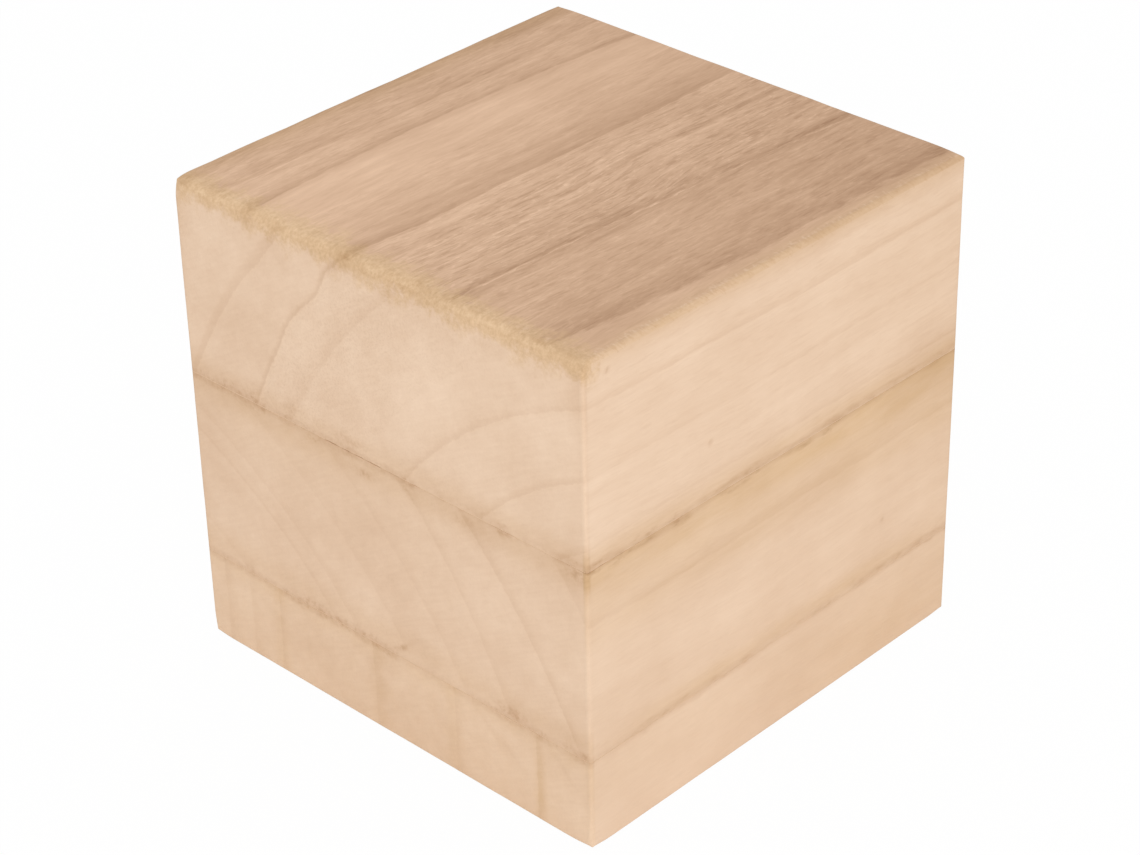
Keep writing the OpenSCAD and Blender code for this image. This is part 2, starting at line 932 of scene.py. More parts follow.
# Distances in from an eased edge and from a glued arris at which the grid has a line
EASED_LINES = (0.0, 0.1, 0.22, 0.36, 0.52, 0.72, 1.0, 1.35, 1.8, 2.4, 3.4)
GLUED_LINES = (0.0, 0.07, 0.16, 0.3, 0.5, 0.8, 1.3)


@dataclass
class Board:
    """One of the three boards, cut flush with the others and sanded with them.

    `outer` is the top or the foot if that face of the board is outside, or None.
    """

    name: str
    body: SandedBlock
    growth: GrowthRings
    outer: Face | None
    joints: tuple[Joint, ...]
    patches: tuple[Patch, ...]
    noise: Lattice
    # Grid spacing, on the level faces and up the walls
    step: float = 0.55
    wall_step: float = 0.6
    # Beside a joint the walls are set in a hair, and up to `chip` more where it gapes
    arris: float = 0.004
    chip: float = 0.14
    arris_reach: float = 0.6
    crumble_cell: float = 1.3
    # Painted shade along the upright edges, against the highlight their rounding catches from the
    # lamps, in steps of sRGB and millimetres
    painted_edge_shade: float = 3.5
    painted_edge_shade_reach: float = 0.9
    # Faces that meet more sharply than this, in degrees, show a crisp edge
    sharp: float = 40.0

    def __post_init__(self) -> None:
        """Take the board's heights from its CAD node and lay out its bake map."""
        low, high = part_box(self.name)
        self.low = low.z * MM_PER_M
        self.high = high.z * MM_PER_M
        self.has_top = self.outer is Face.TOP
        self.has_foot = self.outer is Face.FOOT
        wall = self.high - self.low
        if self.outer is None:
            self.bake = BakeMap.stacked(wall)
        else:
            self.bake = BakeMap.around(self.outer, self.body.size, wall)

    def build(self) -> bpy.types.Object:
        """Make the board's mesh, with its ring phases and bake map.

        Returns:
            The board's object.
        """
        size = self.body.size
        half_x, half_y = size.half_length, size.half_width
        xs = spaced(-half_x, half_x, EASED_LINES, EASED_LINES, self.step)
        ys = spaced(-half_y, half_y, EASED_LINES, EASED_LINES, self.step)
        foot = EASED_LINES if self.has_foot else GLUED_LINES
        head = EASED_LINES if self.has_top else GLUED_LINES
        zs = spaced(self.low, self.high, foot, head, self.wall_step)
        shell = np.zeros((len(xs), len(ys), len(zs)), bool)
        shell[[0, -1]] = True
        shell[:, [0, -1]] = True
        shell[:, :, -1] |= self.has_top
        shell[:, :, 0] |= self.has_foot
        ids = np.full(shell.shape, -1)
        ids[shell] = np.arange(shell.sum())
        i, j, k = np.nonzero(shell)
        points = self.body.settle(np.stack([xs[i], ys[j], zs[k]], axis=1))
        sheets = self._lay_faces(ids, xs, ys, zs)
        return self._object(self._chip_arrises(points), sheets, self._glue_caps(ids))

    def _lay_faces(self, ids: np.ndarray, xs: np.ndarray, ys: np.ndarray, zs: np.ndarray) -> Sheets:
        """Lay out the faces that show.

        Args:
            ids: Vertex numbers on the grid.
            xs: Grid lines along the grain.
            ys: Grid lines across the grain.
            zs: Grid lines upwards.

        Returns:
            The gathered faces.
        """
        sheets = Sheets()
        islands = self.bake.islands
        y, z = np.meshgrid(ys, zs, indexing="ij")
        sheets.lay(ids[0], -y, z, True, islands[Face.NEAR_END])
        sheets.lay(ids[-1], y, z, False, islands[Face.FAR_END])
        x, z = np.meshgrid(xs, zs, indexing="ij")
        sheets.lay(ids[:, 0], x, z, False, islands[Face.FRONT])
        sheets.lay(ids[:, -1], -x, z, True, islands[Face.BACK])
        x, y = np.meshgrid(xs, ys, indexing="ij")
        if self.has_top:
            sheets.lay(ids[:, :, -1], x, y, False, islands[Face.TOP])
        if self.has_foot:
            sheets.lay(ids[:, :, 0], x, -y, True, islands[Face.FOOT])
        return sheets

    def _glue_caps(self, ids: np.ndarray) -> list[np.ndarray]:
        """The flat faces inside the joints.

        Args:
            ids: Vertex numbers on the grid.

        Returns:
            The vertex numbers of each, one polygon round the rim.
        """
        caps = []
        for level, shows in ((0, self.has_foot), (-1, self.has_top)):
            if shows:
                continue
            rim = ids[:, :, level]
            around = np.concatenate([rim[:-1, 0], rim[-1, :-1], rim[:0:-1, -1], rim[0, :0:-1]])
            caps.append(around[::-1] if level == 0 else around)
        return caps

    def _chip_arrises(self, points: np.ndarray) -> np.ndarray:
        """Take the walls in a little beside each glue line, more where it gapes.

        Args:
            points: Vertices on the sanded surface.

        Returns:
            The moved vertices.
        """
        x, y, z = points.T
        size = self.body.size
        # Each wall's own vertices, fading out over the millimetre inside it
        walls_x = np.clip(np.abs(x) - size.half_length + 1, 0, 1)
        walls_y = np.clip(np.abs(y) - size.half_width + 1, 0, 1)
        moved = points.copy()
        for joint in self.joints:
            near = np.clip(1 - np.abs(z - joint.height) / self.arris_reach, 0, 1)
            around = np.stack([x, y, np.full_like(z, joint.height)], axis=1)
            # From no chip at all to one half as deep again as usual
            crumble = self.noise.layered(around, self.crumble_cell) * 1.6 + 0.5
            crumble = np.clip(crumble, 0, 1.5)
            depth = self.arris + self.chip * joint.gape(size, x, y) * crumble
            inward = depth * near**2
            moved[:, 0] -= np.sign(x) * inward * walls_x
            moved[:, 1] -= np.sign(y) * inward * walls_y
        return moved

    def _patched(self, points: np.ndarray) -> dict[str, np.ndarray]:
        """Shade, stain and crumbs of the patches, and the painted shade along the upright edges, at
        each vertex.

        Args:
            points: Vertices in millimetres.

        Returns:
            The values of the three attributes.
        """
        x, y, z = points.T
        size = self.body.size
        skin = 1.0
        # Painted shade: darker along the four upright edges, against the highlight their rounding
        # catches
        edge = np.hypot(size.half_length - np.abs(x), size.half_width - np.abs(y))
        values = {SHADE: self.painted_edge_shade * np.exp(-((edge / self.painted_edge_shade_reach) ** 2))}
        values |= {STAIN: np.zeros(len(points)), CRUMBS: np.zeros(len(points))}
        for patch in self.patches:
            if patch.face is Face.TOP:
                along, up = x + size.half_length, size.half_width - y
                own = z > size.height - skin
            else:
                along, own = wall_place(size, patch.face, x, y)
                up = z
            share = own * patch.share(along, up)
            values[SHADE] += patch.shade * share
            values[STAIN] += patch.stain * share
            values[CRUMBS] += patch.crumbs * share
        return values

    def _object(
        self, points: np.ndarray, sheets: Sheets, caps: list[np.ndarray]
    ) -> bpy.types.Object:
        """Make the Blender object from the gathered geometry.

        Args:
            points: Vertices in millimetres.
            sheets: The faces that show.
            caps: The polygons inside the joints.

        Returns:
            The object, linked to the scene.
        """
        faces = np.concatenate(sheets.quads).tolist() + [cap.tolist() for cap in caps]
        piece = make_mesh_object(self.name + "_wood", points, faces)
        mesh = piece.data
        x, y, _ = points.T
        layers = {PHASE: self.growth.phase(points)} | self._patched(points)
        for number, joint in enumerate(self.joints):
            layers[f"{SMUDGE}_{number}"] = joint.smudge(self.body.size, x, y)
            layers[f"{LIFT}_{number}"] = joint.lift(self.body.size, x, y)
        for name, values in layers.items():
            store_values(mesh, name, values)
        places = np.concatenate(sheets.places).reshape(-1, 2)
        # The hidden caps share a millimetre in the free corner of the map
        corner = self.bake.side - 1.5
        for cap in caps:
            shrunk = points[cap][:, :2] / self.body.size.length
            places = np.concatenate([places, shrunk + corner])
        bake_map = mesh.uv_layers.new(name=BAKE_MAP)
        border = 0.004
        spread = border + places / self.bake.side * (1 - 2 * border)
        bake_map.data.foreach_set("uv", spread.astype(np.float32).ravel())
        mesh.polygons.foreach_set("use_smooth", [True] * len(faces))
        mesh.set_sharp_from_angle(angle=math.radians(self.sharp))
        mesh.validate(verbose=False)
        return piece


@dataclass(frozen=True)
class Palette:
    """Colours of a wood surface: its plain colour, with lighter and darker shades of it."""

    plain: str
    # What red, green and blue lose for one step: darker wood is also warmer
    tilt: tuple[float, float, float]
    # The range of shades, in steps of sRGB darker than plain, and how many stops it has
    lightest: float = -24.0
    darkest: float = 56.0
    stops: int = 7

    def coloured(self, tree: bpy.types.NodeTree, shade: bpy.types.NodeSocket) -> bpy.types.Node:
        """Turn a shade, in steps of sRGB darker than the plain colour, into a colour.

        Args:
            tree: Node tree.
            shade: The shade.

        Returns:
            A node whose first output is the colour.
        """
        place = add(tree, RANGE, (shade, self.lightest, self.darkest))
        shades = np.linspace(self.lightest, self.darkest, self.stops)
        places = np.linspace(0, 1, self.stops)
        stops = tuple(
            (float(p), linear(self.plain, float(d), self.tilt)) for p, d in zip(places, shades)
        )
        return add(tree, RAMP, (place,), stops=stops)


@dataclass(frozen=True)
class Weight:
    """How many steps of sRGB a pattern darkens end grain, sanded sides and the aged top.

    It darkens by as much where its value is 1, and by nothing where that is `centre`.
    """

    end: float
    side: float
    aged: float
    centre: float = 0.0


@dataclass(frozen=True)
class PaulowniaFinish:
    """Paulownia, belt-sanded on the ends and sides after gluing.

    Pale, soft and without gloss: the fibres scatter light almost evenly. It is ring-porous,
    so each ring starts with a darker band of open pores and fades to smooth pale wood. The
    upper face was planed and left to age, which makes it pinker, darker and more lined.
    Where an edge was rubbed over or glue soaked in, the wood is yellower.
    """

    label: str
    has_aged_top: bool = False
    # How strongly the sides show their fibres
    figure: float = 1.0
    sanded: Palette = Palette("#e2c4a8", (1.0, 1.25, 1.4))
    aged: Palette = Palette("#d3ae8f", (1.0, 1.03, 1.03))
    ochre: Palette = Palette("#d5b28a", (1.0, 1.1, 1.15))
    roughness: float = 0.78

    WEIGHTS: ClassVar[dict[str, Weight]] = {
        "end_line": Weight(24, 0, 0),
        "end_early": Weight(10, 0, 0),
        "end_late": Weight(12, 0, 0),
        "end_tone": Weight(24, 0, 0, 0.5),
        "face_line": Weight(0, 14, 24),
        "face_early": Weight(0, 7, 16),
        "face_late": Weight(0, 8, 18),
        "face_tone": Weight(0, 12, 24, 0.5),
        "broad": Weight(6, 9, 24, 0.5),
        "streak": Weight(4, 7, 14, 0.5),
        "dash": Weight(0, 0, 22, 0.5),
        "fine": Weight(5.5, 8, 12, 0.5),
        "patches": Weight(20, 14, 14, 0.5),
        "hatch": Weight(7, 0, 0, 0.5),
        "pore": Weight(3, 6, 11),
        "fleck": Weight(0, -3, -9),
        "smudge": Weight(33, 33, 0),
        "shade": Weight(1, 1, 1),
        "clump": Weight(52, 52, 52),
    }
    FIBRES: ClassVar[tuple[str, ...]] = ("broad", "streak", "fine", "pore")

    def material(self, board: Board) -> bpy.types.Material:
        """Make the wood material for a board.

        Args:
            board: The board it is for.

        Returns:
            The material.
        """
        material = bpy.data.materials.new(self.label)
        tree = blank_tree(material)
        size = board.body.size
        coordinates = add(tree, "ShaderNodeTexCoord")
        place = add(tree, VECTOR, {0: coordinates.outputs["Object"], "Scale": MM_PER_M}, "SCALE")
        spot = add(tree, SPLIT, (place,))
        # End grain is where the surface faces along the grain
        facing = add(tree, SPLIT, (coordinates.outputs["Normal"],))
        facing = add(tree, MATH, (facing,), "ABSOLUTE")
        end_share = add(tree, RANGE, (facing, 0.3, 0.8), "SMOOTHSTEP")

        patterns = self._rings(tree, place, board.growth)
        patterns |= self._grain(tree, place, patterns["face_pores"])
        patterns["smudge"] = self._smudge(tree, place, spot, board.joints)
        patterns["shade"] = add(tree, ATTRIBUTE, (), SHADE).outputs["Fac"]
        rubbed, patterns["clump"] = self._rubbed(tree, place, spot, size)
        total = self._total(tree, patterns)
        shade = add(tree, MIX, {0: end_share, 2: total.outputs["Y"], 3: total.outputs["X"]})
        colour = self.sanded.coloured(tree, shade)
        stain = self._stain(tree, place)
        if self.has_aged_top:
            kept = self._aged_share(tree, place, spot, size)
            aged = self.aged.coloured(tree, total.outputs["Z"])
            colour = add(tree, MIX, {0: kept, MIX_A: colour, MIX_B: aged}, "RGBA").outputs[MIX_OUT]
            stain = add(tree, MATH, (stain, rubbed), "MAXIMUM")
        ochre = self.ochre.coloured(tree, shade)
        colour = add(tree, MIX, {0: stain, MIX_A: colour, MIX_B: ochre}, "RGBA").outputs[MIX_OUT]
        # The grain stands a few hundredths of a millimetre proud
        bump = add(
            tree,
            "ShaderNodeBump",
            {"Strength": 0.4, "Distance": 0.1 / MM_PER_M, "Height": patterns["relief"]},
        )
        shader = add(
            tree,
            "ShaderNodeBsdfPrincipled",
            {
                "Base Color": colour,
                "Roughness": self.roughness,
                "IOR": 1.5,
                "Specular IOR Level": 0.35,
                "Normal": bump,
            },
        )
        add(tree, "ShaderNodeOutputMaterial", {"Surface": shader})
        return material

    def _total(self, tree: bpy.types.NodeTree, patterns: dict) -> bpy.types.Node:
        """Add up how much all the patterns darken the wood.

        Args:
            tree: Node tree.
            patterns: Socket of each pattern, by its name in WEIGHTS.

        Returns:
            A node with the steps of sRGB for end grain, sides and the aged top as X, Y, Z.
        """
        amounts = {
            name: (weight.end, weight.side * (self.figure if name in self.FIBRES else 1), weight.aged)
            for name, weight in self.WEIGHTS.items()
        }
        total = tuple(
            -sum(self.WEIGHTS[name].centre * steps[kind] for name, steps in amounts.items())
            for kind in range(3)
        )
        for name, steps in amounts.items():
            total = add(tree, VECTOR, (patterns[name], steps, total), "MULTIPLY_ADD")
        return add(tree, SPLIT, (total,))

    @staticmethod
    def _rings(tree: bpy.types.NodeTree, place: bpy.types.Node, growth: GrowthRings) -> dict:
        """Turn the ring phase into boundary lines, earlywood bands and ring tones.

        Args:
            tree: Node tree.
            place: The point in millimetres.
            growth: The board's rings.

        Returns:
            Sockets named line, early, late, tone and pores, after end_ and face_.
        """
        # The boundary wanders by a cell or two of wood, up to half a millimetre each way,
        # over a millimetre or so
        wander = add(tree, VECTOR, (place, (0.25, 1.0, 1.0)), "MULTIPLY")
        wander = add(tree, NOISE, {"Vector": wander, "Scale": 0.9, "Detail": 3.0})
        shift = add(tree, RANGE, {0: wander, 3: -0.05, 4: 0.05})
        phase = add(tree, ATTRIBUTE, (), PHASE)
        phase = add(tree, MATH, (phase.outputs["Fac"], shift), "ADD")
        part = add(tree, MATH, (phase,), "FRACT")
        number = add(tree, MATH, (phase,), "FLOOR")
        # The ramps are tables of sixteen steps, each read in its middle; a table's colour
        # holds four values, and those of the wood inside the first ring come first
        count = 16
        number = add(tree, MATH, (number, 0.5), "ADD")
        number = add(tree, MATH, (number, 1 / count), "MULTIPLY")
        # Growth starts within a third of a millimetre in spring; the pores thin out over the
        # year, and the last quarter of the ring is the dense wood of autumn
        spring = 0.035
        rise = add(tree, RANGE, {0: part, 2: spring}, "SMOOTHSTEP")
        fade = add(tree, RANGE, (part, spring, 0.9, 1.0, 0.0))
        fade = add(tree, MATH, (rise, fade), "MULTIPLY")
        close = add(tree, RANGE, (part, 0.75, 1.0), "SMOOTHSTEP")
        sockets = {}
        for kind in ("end", "face"):
            looks = [RingLook(line=0.0, softness=0.5, early=0.0)]
            looks += [getattr(ring, "on_" + kind) for ring in growth.rings]
            tables, split = [], []
            for entries in ([look.start() for look in looks], [look.rest() for look in looks]):
                stops = tuple((step / count, entry) for step, entry in enumerate(entries))
                table = add(tree, RAMP, (number,), stops=stops, interpolation="CONSTANT")
                tables.append(table)
                split.append(add(tree, "ShaderNodeSeparateColor", (table.outputs["Color"],)))
            start, rest = split
            # A crisp line is 0.7 mm wide and a soft one 3.5 mm
            width = add(tree, RANGE, {0: start.outputs[1], 3: 0.07, 4: 0.35})
            fall = add(tree, RANGE, (part, spring, width, 1.0, 0.0), "SMOOTHSTEP")
            line = add(tree, MATH, (rise, fall), "MULTIPLY")
            sockets |= {
                kind + "_line": add(tree, MATH, (line, start.outputs[0]), "MULTIPLY"),
                kind + "_early": add(tree, MATH, (fade, start.outputs[2]), "MULTIPLY"),
                kind + "_late": add(tree, MATH, (close, rest.outputs[0]), "MULTIPLY"),
                kind + "_tone": tables[0].outputs["Alpha"],
                kind + "_pores": rest.outputs[1],
            }
        return sockets

    @staticmethod
    def _grain(
        tree: bpy.types.NodeTree, place: bpy.types.Node, porous: bpy.types.NodeSocket
    ) -> dict:
        """Fibres, pores, flecks and sanding marks.

        Args:
            tree: Node tree.
            place: The point in millimetres.
            porous: How many pores the ring shows.

        Returns:
            Sockets named broad, streak, dash, fine, patches, hatch, pore, fleck and relief.
        """
        # The fibres swing gently from side to side by a millimetre or so over 40 mm
        swing = add(tree, VECTOR, (place, (0.024, 0.03, 0.03)), "MULTIPLY")
        swing = add(tree, NOISE, {"Vector": swing, "Scale": 1.0, "Detail": 1.0})
        swing = add(tree, VECTOR, (swing.outputs["Color"], (0.5, 0.5, 0.5)), "SUBTRACT")
        swing = add(tree, VECTOR, (swing, (0.0, 4.0, 4.0)), "MULTIPLY")
        along = add(tree, VECTOR, (place, swing), "ADD")
        # Stretch along each axis, cells per millimetre across and detail: bands 3 mm thick
        # and 45 mm long, streaks of 1 mm by 15 mm, dashes of 1 mm by 6 mm, fibres of 0.4 mm
        # by 3 mm, and vessels cut open, which are drawn twice as thick as the real 0.2 mm so
        # that they show
        stretched = {
            "broad": ((0.06, 1.0, 1.0), 0.35, 2.0),
            "streak": ((0.06, 1.0, 1.0), 0.85, 2.0),
            "dash": ((0.17, 1.0, 1.0), 0.95, 2.0),
            "fine": ((0.12, 1.0, 1.0), 2.4, 2.0),
            "pore": ((0.12, 1.0, 1.0), 2.4, 0.0),
            "fleck": ((0.34, 1.0, 1.0), 1.9, 1.0),
        }
        noises = {}
        for number, (name, (stretch, scale, detail)) in enumerate(stretched.items()):
            moved = add(tree, VECTOR, (along, (17.0 * number, 5.0, 9.0)), "ADD")
            if name == "fleck":
                # The vessels lean a little from the grain
                moved = add(tree, TURN, {"Vector": moved, "Angle": math.radians(8)}, "Z_AXIS")
            vector = add(tree, VECTOR, (moved, stretch), "MULTIPLY")
            bent = 0.5 if name in ("dash", "fleck") else 0.0
            values = {"Vector": vector, "Scale": scale, "Detail": detail, "Distortion": bent}
            noises[name] = add(tree, NOISE, values)
        # Soft clouds 14 mm across
        noises["patches"] = add(tree, NOISE, {"Vector": place, "Scale": 0.07, "Detail": 2.0})
        # Belt marks cross the end grain at 30 degrees, 0.7 mm apart
        turned = add(tree, TURN, {"Vector": place, "Angle": math.radians(30)}, "X_AXIS")
        turned = add(tree, VECTOR, (turned, (1.0, 0.12, 1.0)), "MULTIPLY")
        noises["hatch"] = add(tree, NOISE, {"Vector": turned, "Scale": 1.4, "Detail": 1.0})
        # Wood with open pores is coarser, and only it shows pores and flecks
        coarse = add(tree, RANGE, {0: porous, 3: 0.45, 4: 1.6})
        for name in ("streak", "dash", "fine"):
            uneven = add(tree, MATH, (noises[name], 0.5), "SUBTRACT")
            noises[name] = add(tree, MATH, (uneven, coarse, 0.5), "MULTIPLY_ADD")
        for name, (low, high) in (("pore", (0.56, 0.7)), ("fleck", (0.55, 0.7))):
            opened = add(tree, RANGE, (noises[name], low, high), "SMOOTHSTEP")
            noises[name] = add(tree, MATH, (opened, porous), "MULTIPLY")
        relief = add(tree, MATH, (noises["pore"], -0.8, noises["fine"]), "MULTIPLY_ADD")
        return noises | {"relief": relief}

    @staticmethod
    def _smudge(
        tree: bpy.types.NodeTree,
        place: bpy.types.Node,
        spot: bpy.types.Node,
        joints: tuple[Joint, ...],
    ) -> bpy.types.NodeSocket:
        """Where glue and sanding dust darkened the wood beside a joint.

        Args:
            tree: Node tree.
            place: The point in millimetres.
            spot: The same point, split.
            joints: The board's joints.

        Returns:
            A share from 0 to 1.
        """
        # Sanding drew everything out along the grain, and the smudge sways by up to 0.8 mm
        drawn = add(tree, VECTOR, (place, (0.35, 1.0, 1.0)), "MULTIPLY")
        sway = add(tree, NOISE, {"Vector": drawn, "Scale": 0.22, "Detail": 2.0})
        sway = add(tree, RANGE, {0: sway, 3: -0.8, 4: 0.8})
        # Crumbs of dust and squeezed-out glue a millimetre across, in clouds of 4 mm
        crumbs = add(tree, NOISE, {"Vector": drawn, "Scale": 0.85, "Detail": 3.0, "Roughness": 0.6})
        crumbs = add(tree, RANGE, (crumbs, 0.42, 0.66, 0.0, 1.0))
        clouds = add(tree, NOISE, {"Vector": drawn, "Scale": 0.25, "Detail": 1.0})
        clouds = add(tree, RANGE, (clouds, 0.35, 0.65, 0.3, 2.4))
        # The wood right beside the joint drank the glue; further out there are only crumbs
        soak = add(tree, RANGE, {0: crumbs, 3: 0.42, 4: 0.8})
        soak_reach, least_reach = 1.7, 0.6
        most = None
        for number, joint in enumerate(joints):
            amount = add(tree, ATTRIBUTE, (), f"{SMUDGE}_{number}").outputs["Fac"]
            lift = add(tree, ATTRIBUTE, (), f"{LIFT}_{number}").outputs["Fac"]
            away = add(tree, MATH, (spot.outputs["Z"], -joint.height), "ADD")
            away = add(tree, MATH, (away, lift), "SUBTRACT")
            away = add(tree, MATH, (sway, amount, away), "MULTIPLY_ADD")
            away = add(tree, MATH, (away,), "ABSOLUTE")
            reach = add(tree, MATH, (amount, clouds, least_reach), "MULTIPLY_ADD")
            for strength, width in ((soak, soak_reach), (crumbs, reach)):
                near = add(tree, MATH, (away, width), "DIVIDE")
                share = add(tree, RANGE, (near, 0.2, 1.0, 1.0, 0.0), "SMOOTHSTEP")
                share = add(tree, MATH, (share, amount), "MULTIPLY")
                share = add(tree, MATH, (share, strength), "MULTIPLY")
                most = share if most is None else add(tree, MATH, (most, share), "MAXIMUM")
        # Strewn crumbs lie in a haze of finer dust
        haze = add(tree, RANGE, {0: crumbs, 3: 0.2, 4: 0.95})
        strewn = add(tree, ATTRIBUTE, (), CRUMBS).outputs["Fac"]
        strewn = add(tree, MATH, (strewn, haze), "MULTIPLY")
        return add(tree, MATH, (most, strewn), "MAXIMUM").outputs[0]

    @staticmethod
    def _stain(tree: bpy.types.NodeTree, place: bpy.types.Node) -> bpy.types.Node:
        """Where the wood is yellower, in soft clouds 3 mm thick.

        Args:
            tree: Node tree.
            place: The point in millimetres.

        Returns:
            A share from 0 to 1.
        """
        amount = add(tree, ATTRIBUTE, (), STAIN)
        drawn = add(tree, VECTOR, (place, (0.25, 1.0, 1.0)), "MULTIPLY")
        cloud = add(tree, NOISE, {"Vector": drawn, "Scale": 0.3, "Detail": 3.0})
        cloud = add(tree, RANGE, (cloud, 0.3, 0.7, 0.75, 1.25))
        return add(tree, MATH, (amount.outputs["Fac"], cloud), "MULTIPLY", use_clamp=True)

    @staticmethod
    def _rubbed(
        tree: bpy.types.NodeTree, place: bpy.types.Node, spot: bpy.types.Node, size: BlockSize
    ) -> tuple[bpy.types.Node, bpy.types.Node]:
        """Where the near top edge was rubbed over, which left it ochre and fibrous.

        Args:
            tree: Node tree.
            place: The point in millimetres.
            spot: The same point, split.
            size: The block's size.

        Returns:
            The share of ochre, and the clumps of torn fibre in it.
        """
        inward = add(tree, MATH, (spot.outputs["X"], size.half_length), "ADD")
        down = add(tree, MATH, (size.height, spot.outputs["Z"]), "SUBTRACT")
        # It reaches a quarter further over the top than down the end, in ragged tufts
        away = add(tree, JOIN, (inward, down, 0.0))
        away = add(tree, VECTOR, (away, (0.8, 1.0, 1.0)), "MULTIPLY")
        away = add(tree, VECTOR, (away,), "LENGTH")
        ragged = add(tree, NOISE, {"Vector": place, "Scale": 0.35, "Detail": 6.0, "Roughness": 0.7})
        shortest, longest = 1.5, 8.5
        reach = add(tree, RANGE, (ragged, 0.3, 0.7, shortest, longest))
        near = add(tree, MATH, (away.outputs["Value"], reach), "DIVIDE")
        share = add(tree, RANGE, (near, 0.2, 1.15, 0.89, 0.0), "SMOOTHSTEP")
        # Clumps of fibre just under a millimetre across
        clump = add(tree, NOISE, {"Vector": place, "Scale": 1.2, "Detail": 3.0, "Roughness": 0.7})
        clump = add(tree, MATH, (clump, 0.5), "SUBTRACT")
        return share, add(tree, MATH, (clump, share), "MULTIPLY")

    @staticmethod
    def _aged_share(
        tree: bpy.types.NodeTree, place: bpy.types.Node, spot: bpy.types.Node, size: BlockSize
    ) -> bpy.types.Node:
        """How much of the aged skin is left: all of it on the upper face, none near its edges.

        Args:
            tree: Node tree.
            place: The point in millimetres.
            spot: The same point, split.
            size: The block's size.

        Returns:
            A share from 0 to 1.
        """
        down = add(tree, MATH, (size.height, spot.outputs["Z"]), "SUBTRACT")
        # Sandpaper drawn over an edge leaves short scratches askew across it. For each edge:
        # its axis, whether it is the high side, where over the edge the aged skin starts and
        # is whole, from below the edge (less than zero) to inward of it, how far the
        # scratches move that, how many there are to a millimetre, and how they are drawn out
        edges = (
            ("X", False, -0.4, 3.0, 4.6, 0.6, (0.8, 1.3, 0.8)),
            ("X", True, -1.2, 0.3, 2.0, 1.2, (0.6, 1.3, 0.6)),
            ("Y", False, -0.9, 1.9, 4.0, 1.4, (1.3, 0.55, 0.55)),
            ("Y", True, -1.2, 0.3, 2.0, 0.9, (1.5, 0.6, 0.6)),
        )
        askew = add(tree, TURN, {"Vector": place, "Angle": math.radians(40)}, "Y_AXIS")
        share = None
        for axis, high, start, whole, rag, scale, squeeze in edges:
            half = size.half_length if axis == "X" else size.half_width
            drawn = add(tree, VECTOR, (place if axis == "X" else askew, squeeze), "MULTIPLY")
            ragged = add(
                tree, NOISE, {"Vector": drawn, "Scale": scale, "Detail": 3.0, "Roughness": 0.6}
            )
            inward = add(
                tree, MATH, (spot.outputs[axis], -1.0 if high else 1.0, half),
                "MULTIPLY_ADD",
            )
            over = add(tree, MATH, (inward, down), "SUBTRACT")
            uneven = add(tree, MATH, (ragged, 0.5), "SUBTRACT")
            over = add(tree, MATH, (uneven, 2 * rag, over), "MULTIPLY_ADD")
            inside = add(tree, RANGE, (over, start, whole), "SMOOTHSTEP")
            share = inside if share is None else add(tree, MATH, (share, inside), "MULTIPLY")
        return share


@dataclass(frozen=True)
class CuredGlueFinish:
    """Cured yellow wood glue, squeezed thin between the boards and sanded flush.

    A hard amber film with a dull skin. Flush, it takes the colour of the wood and shows as
    a faint line; where the joint gapes it lies in shade and looks brown.
    """

    label: str = "cured_yellow_wood_glue"
    clear: str = "#dbbb99"
    dark: str = "#9a7550"
    roughness: float = 0.6

    def material(self) -> bpy.types.Material:
        """Make the glue material.

        Returns:
            The material.
        """
        material = bpy.data.materials.new(self.label)
        tree = blank_tree(material)
        coordinates = add(tree, "ShaderNodeTexCoord")
        place = add(tree, VECTOR, {0: coordinates.outputs["Object"], "Scale": MM_PER_M}, "SCALE")
        # The film is thicker and thinner in clouds of 2 mm, under a skin grained at 0.25 mm
        cloud = add(tree, NOISE, {"Vector": place, "Scale": 0.5, "Detail": 3.0})
        cloud = add(tree, RANGE, (cloud, 0.3, 0.7, -0.25, 0.15))
        gape = add(tree, ATTRIBUTE, (), OPEN)
        share = add(tree, MATH, (gape.outputs["Fac"], cloud), "ADD", use_clamp=True)
        colour = add(
            tree, RAMP, (share,), stops=((0.0, linear(self.clear)), (1.0, linear(self.dark)))
        )
        skin = add(tree, NOISE, {"Vector": place, "Scale": 4.0, "Detail": 2.0})
        bump = add(
            tree, "ShaderNodeBump", {"Strength": 0.3, "Distance": 0.05 / MM_PER_M, "Height": skin}
        )
        shader = add(
            tree,
            "ShaderNodeBsdfPrincipled",
            {"Base Color": colour, "Roughness": self.roughness, "IOR": 1.47, "Normal": bump},
        )
        add(tree, "ShaderNodeOutputMaterial", {"Surface": shader})
        return material


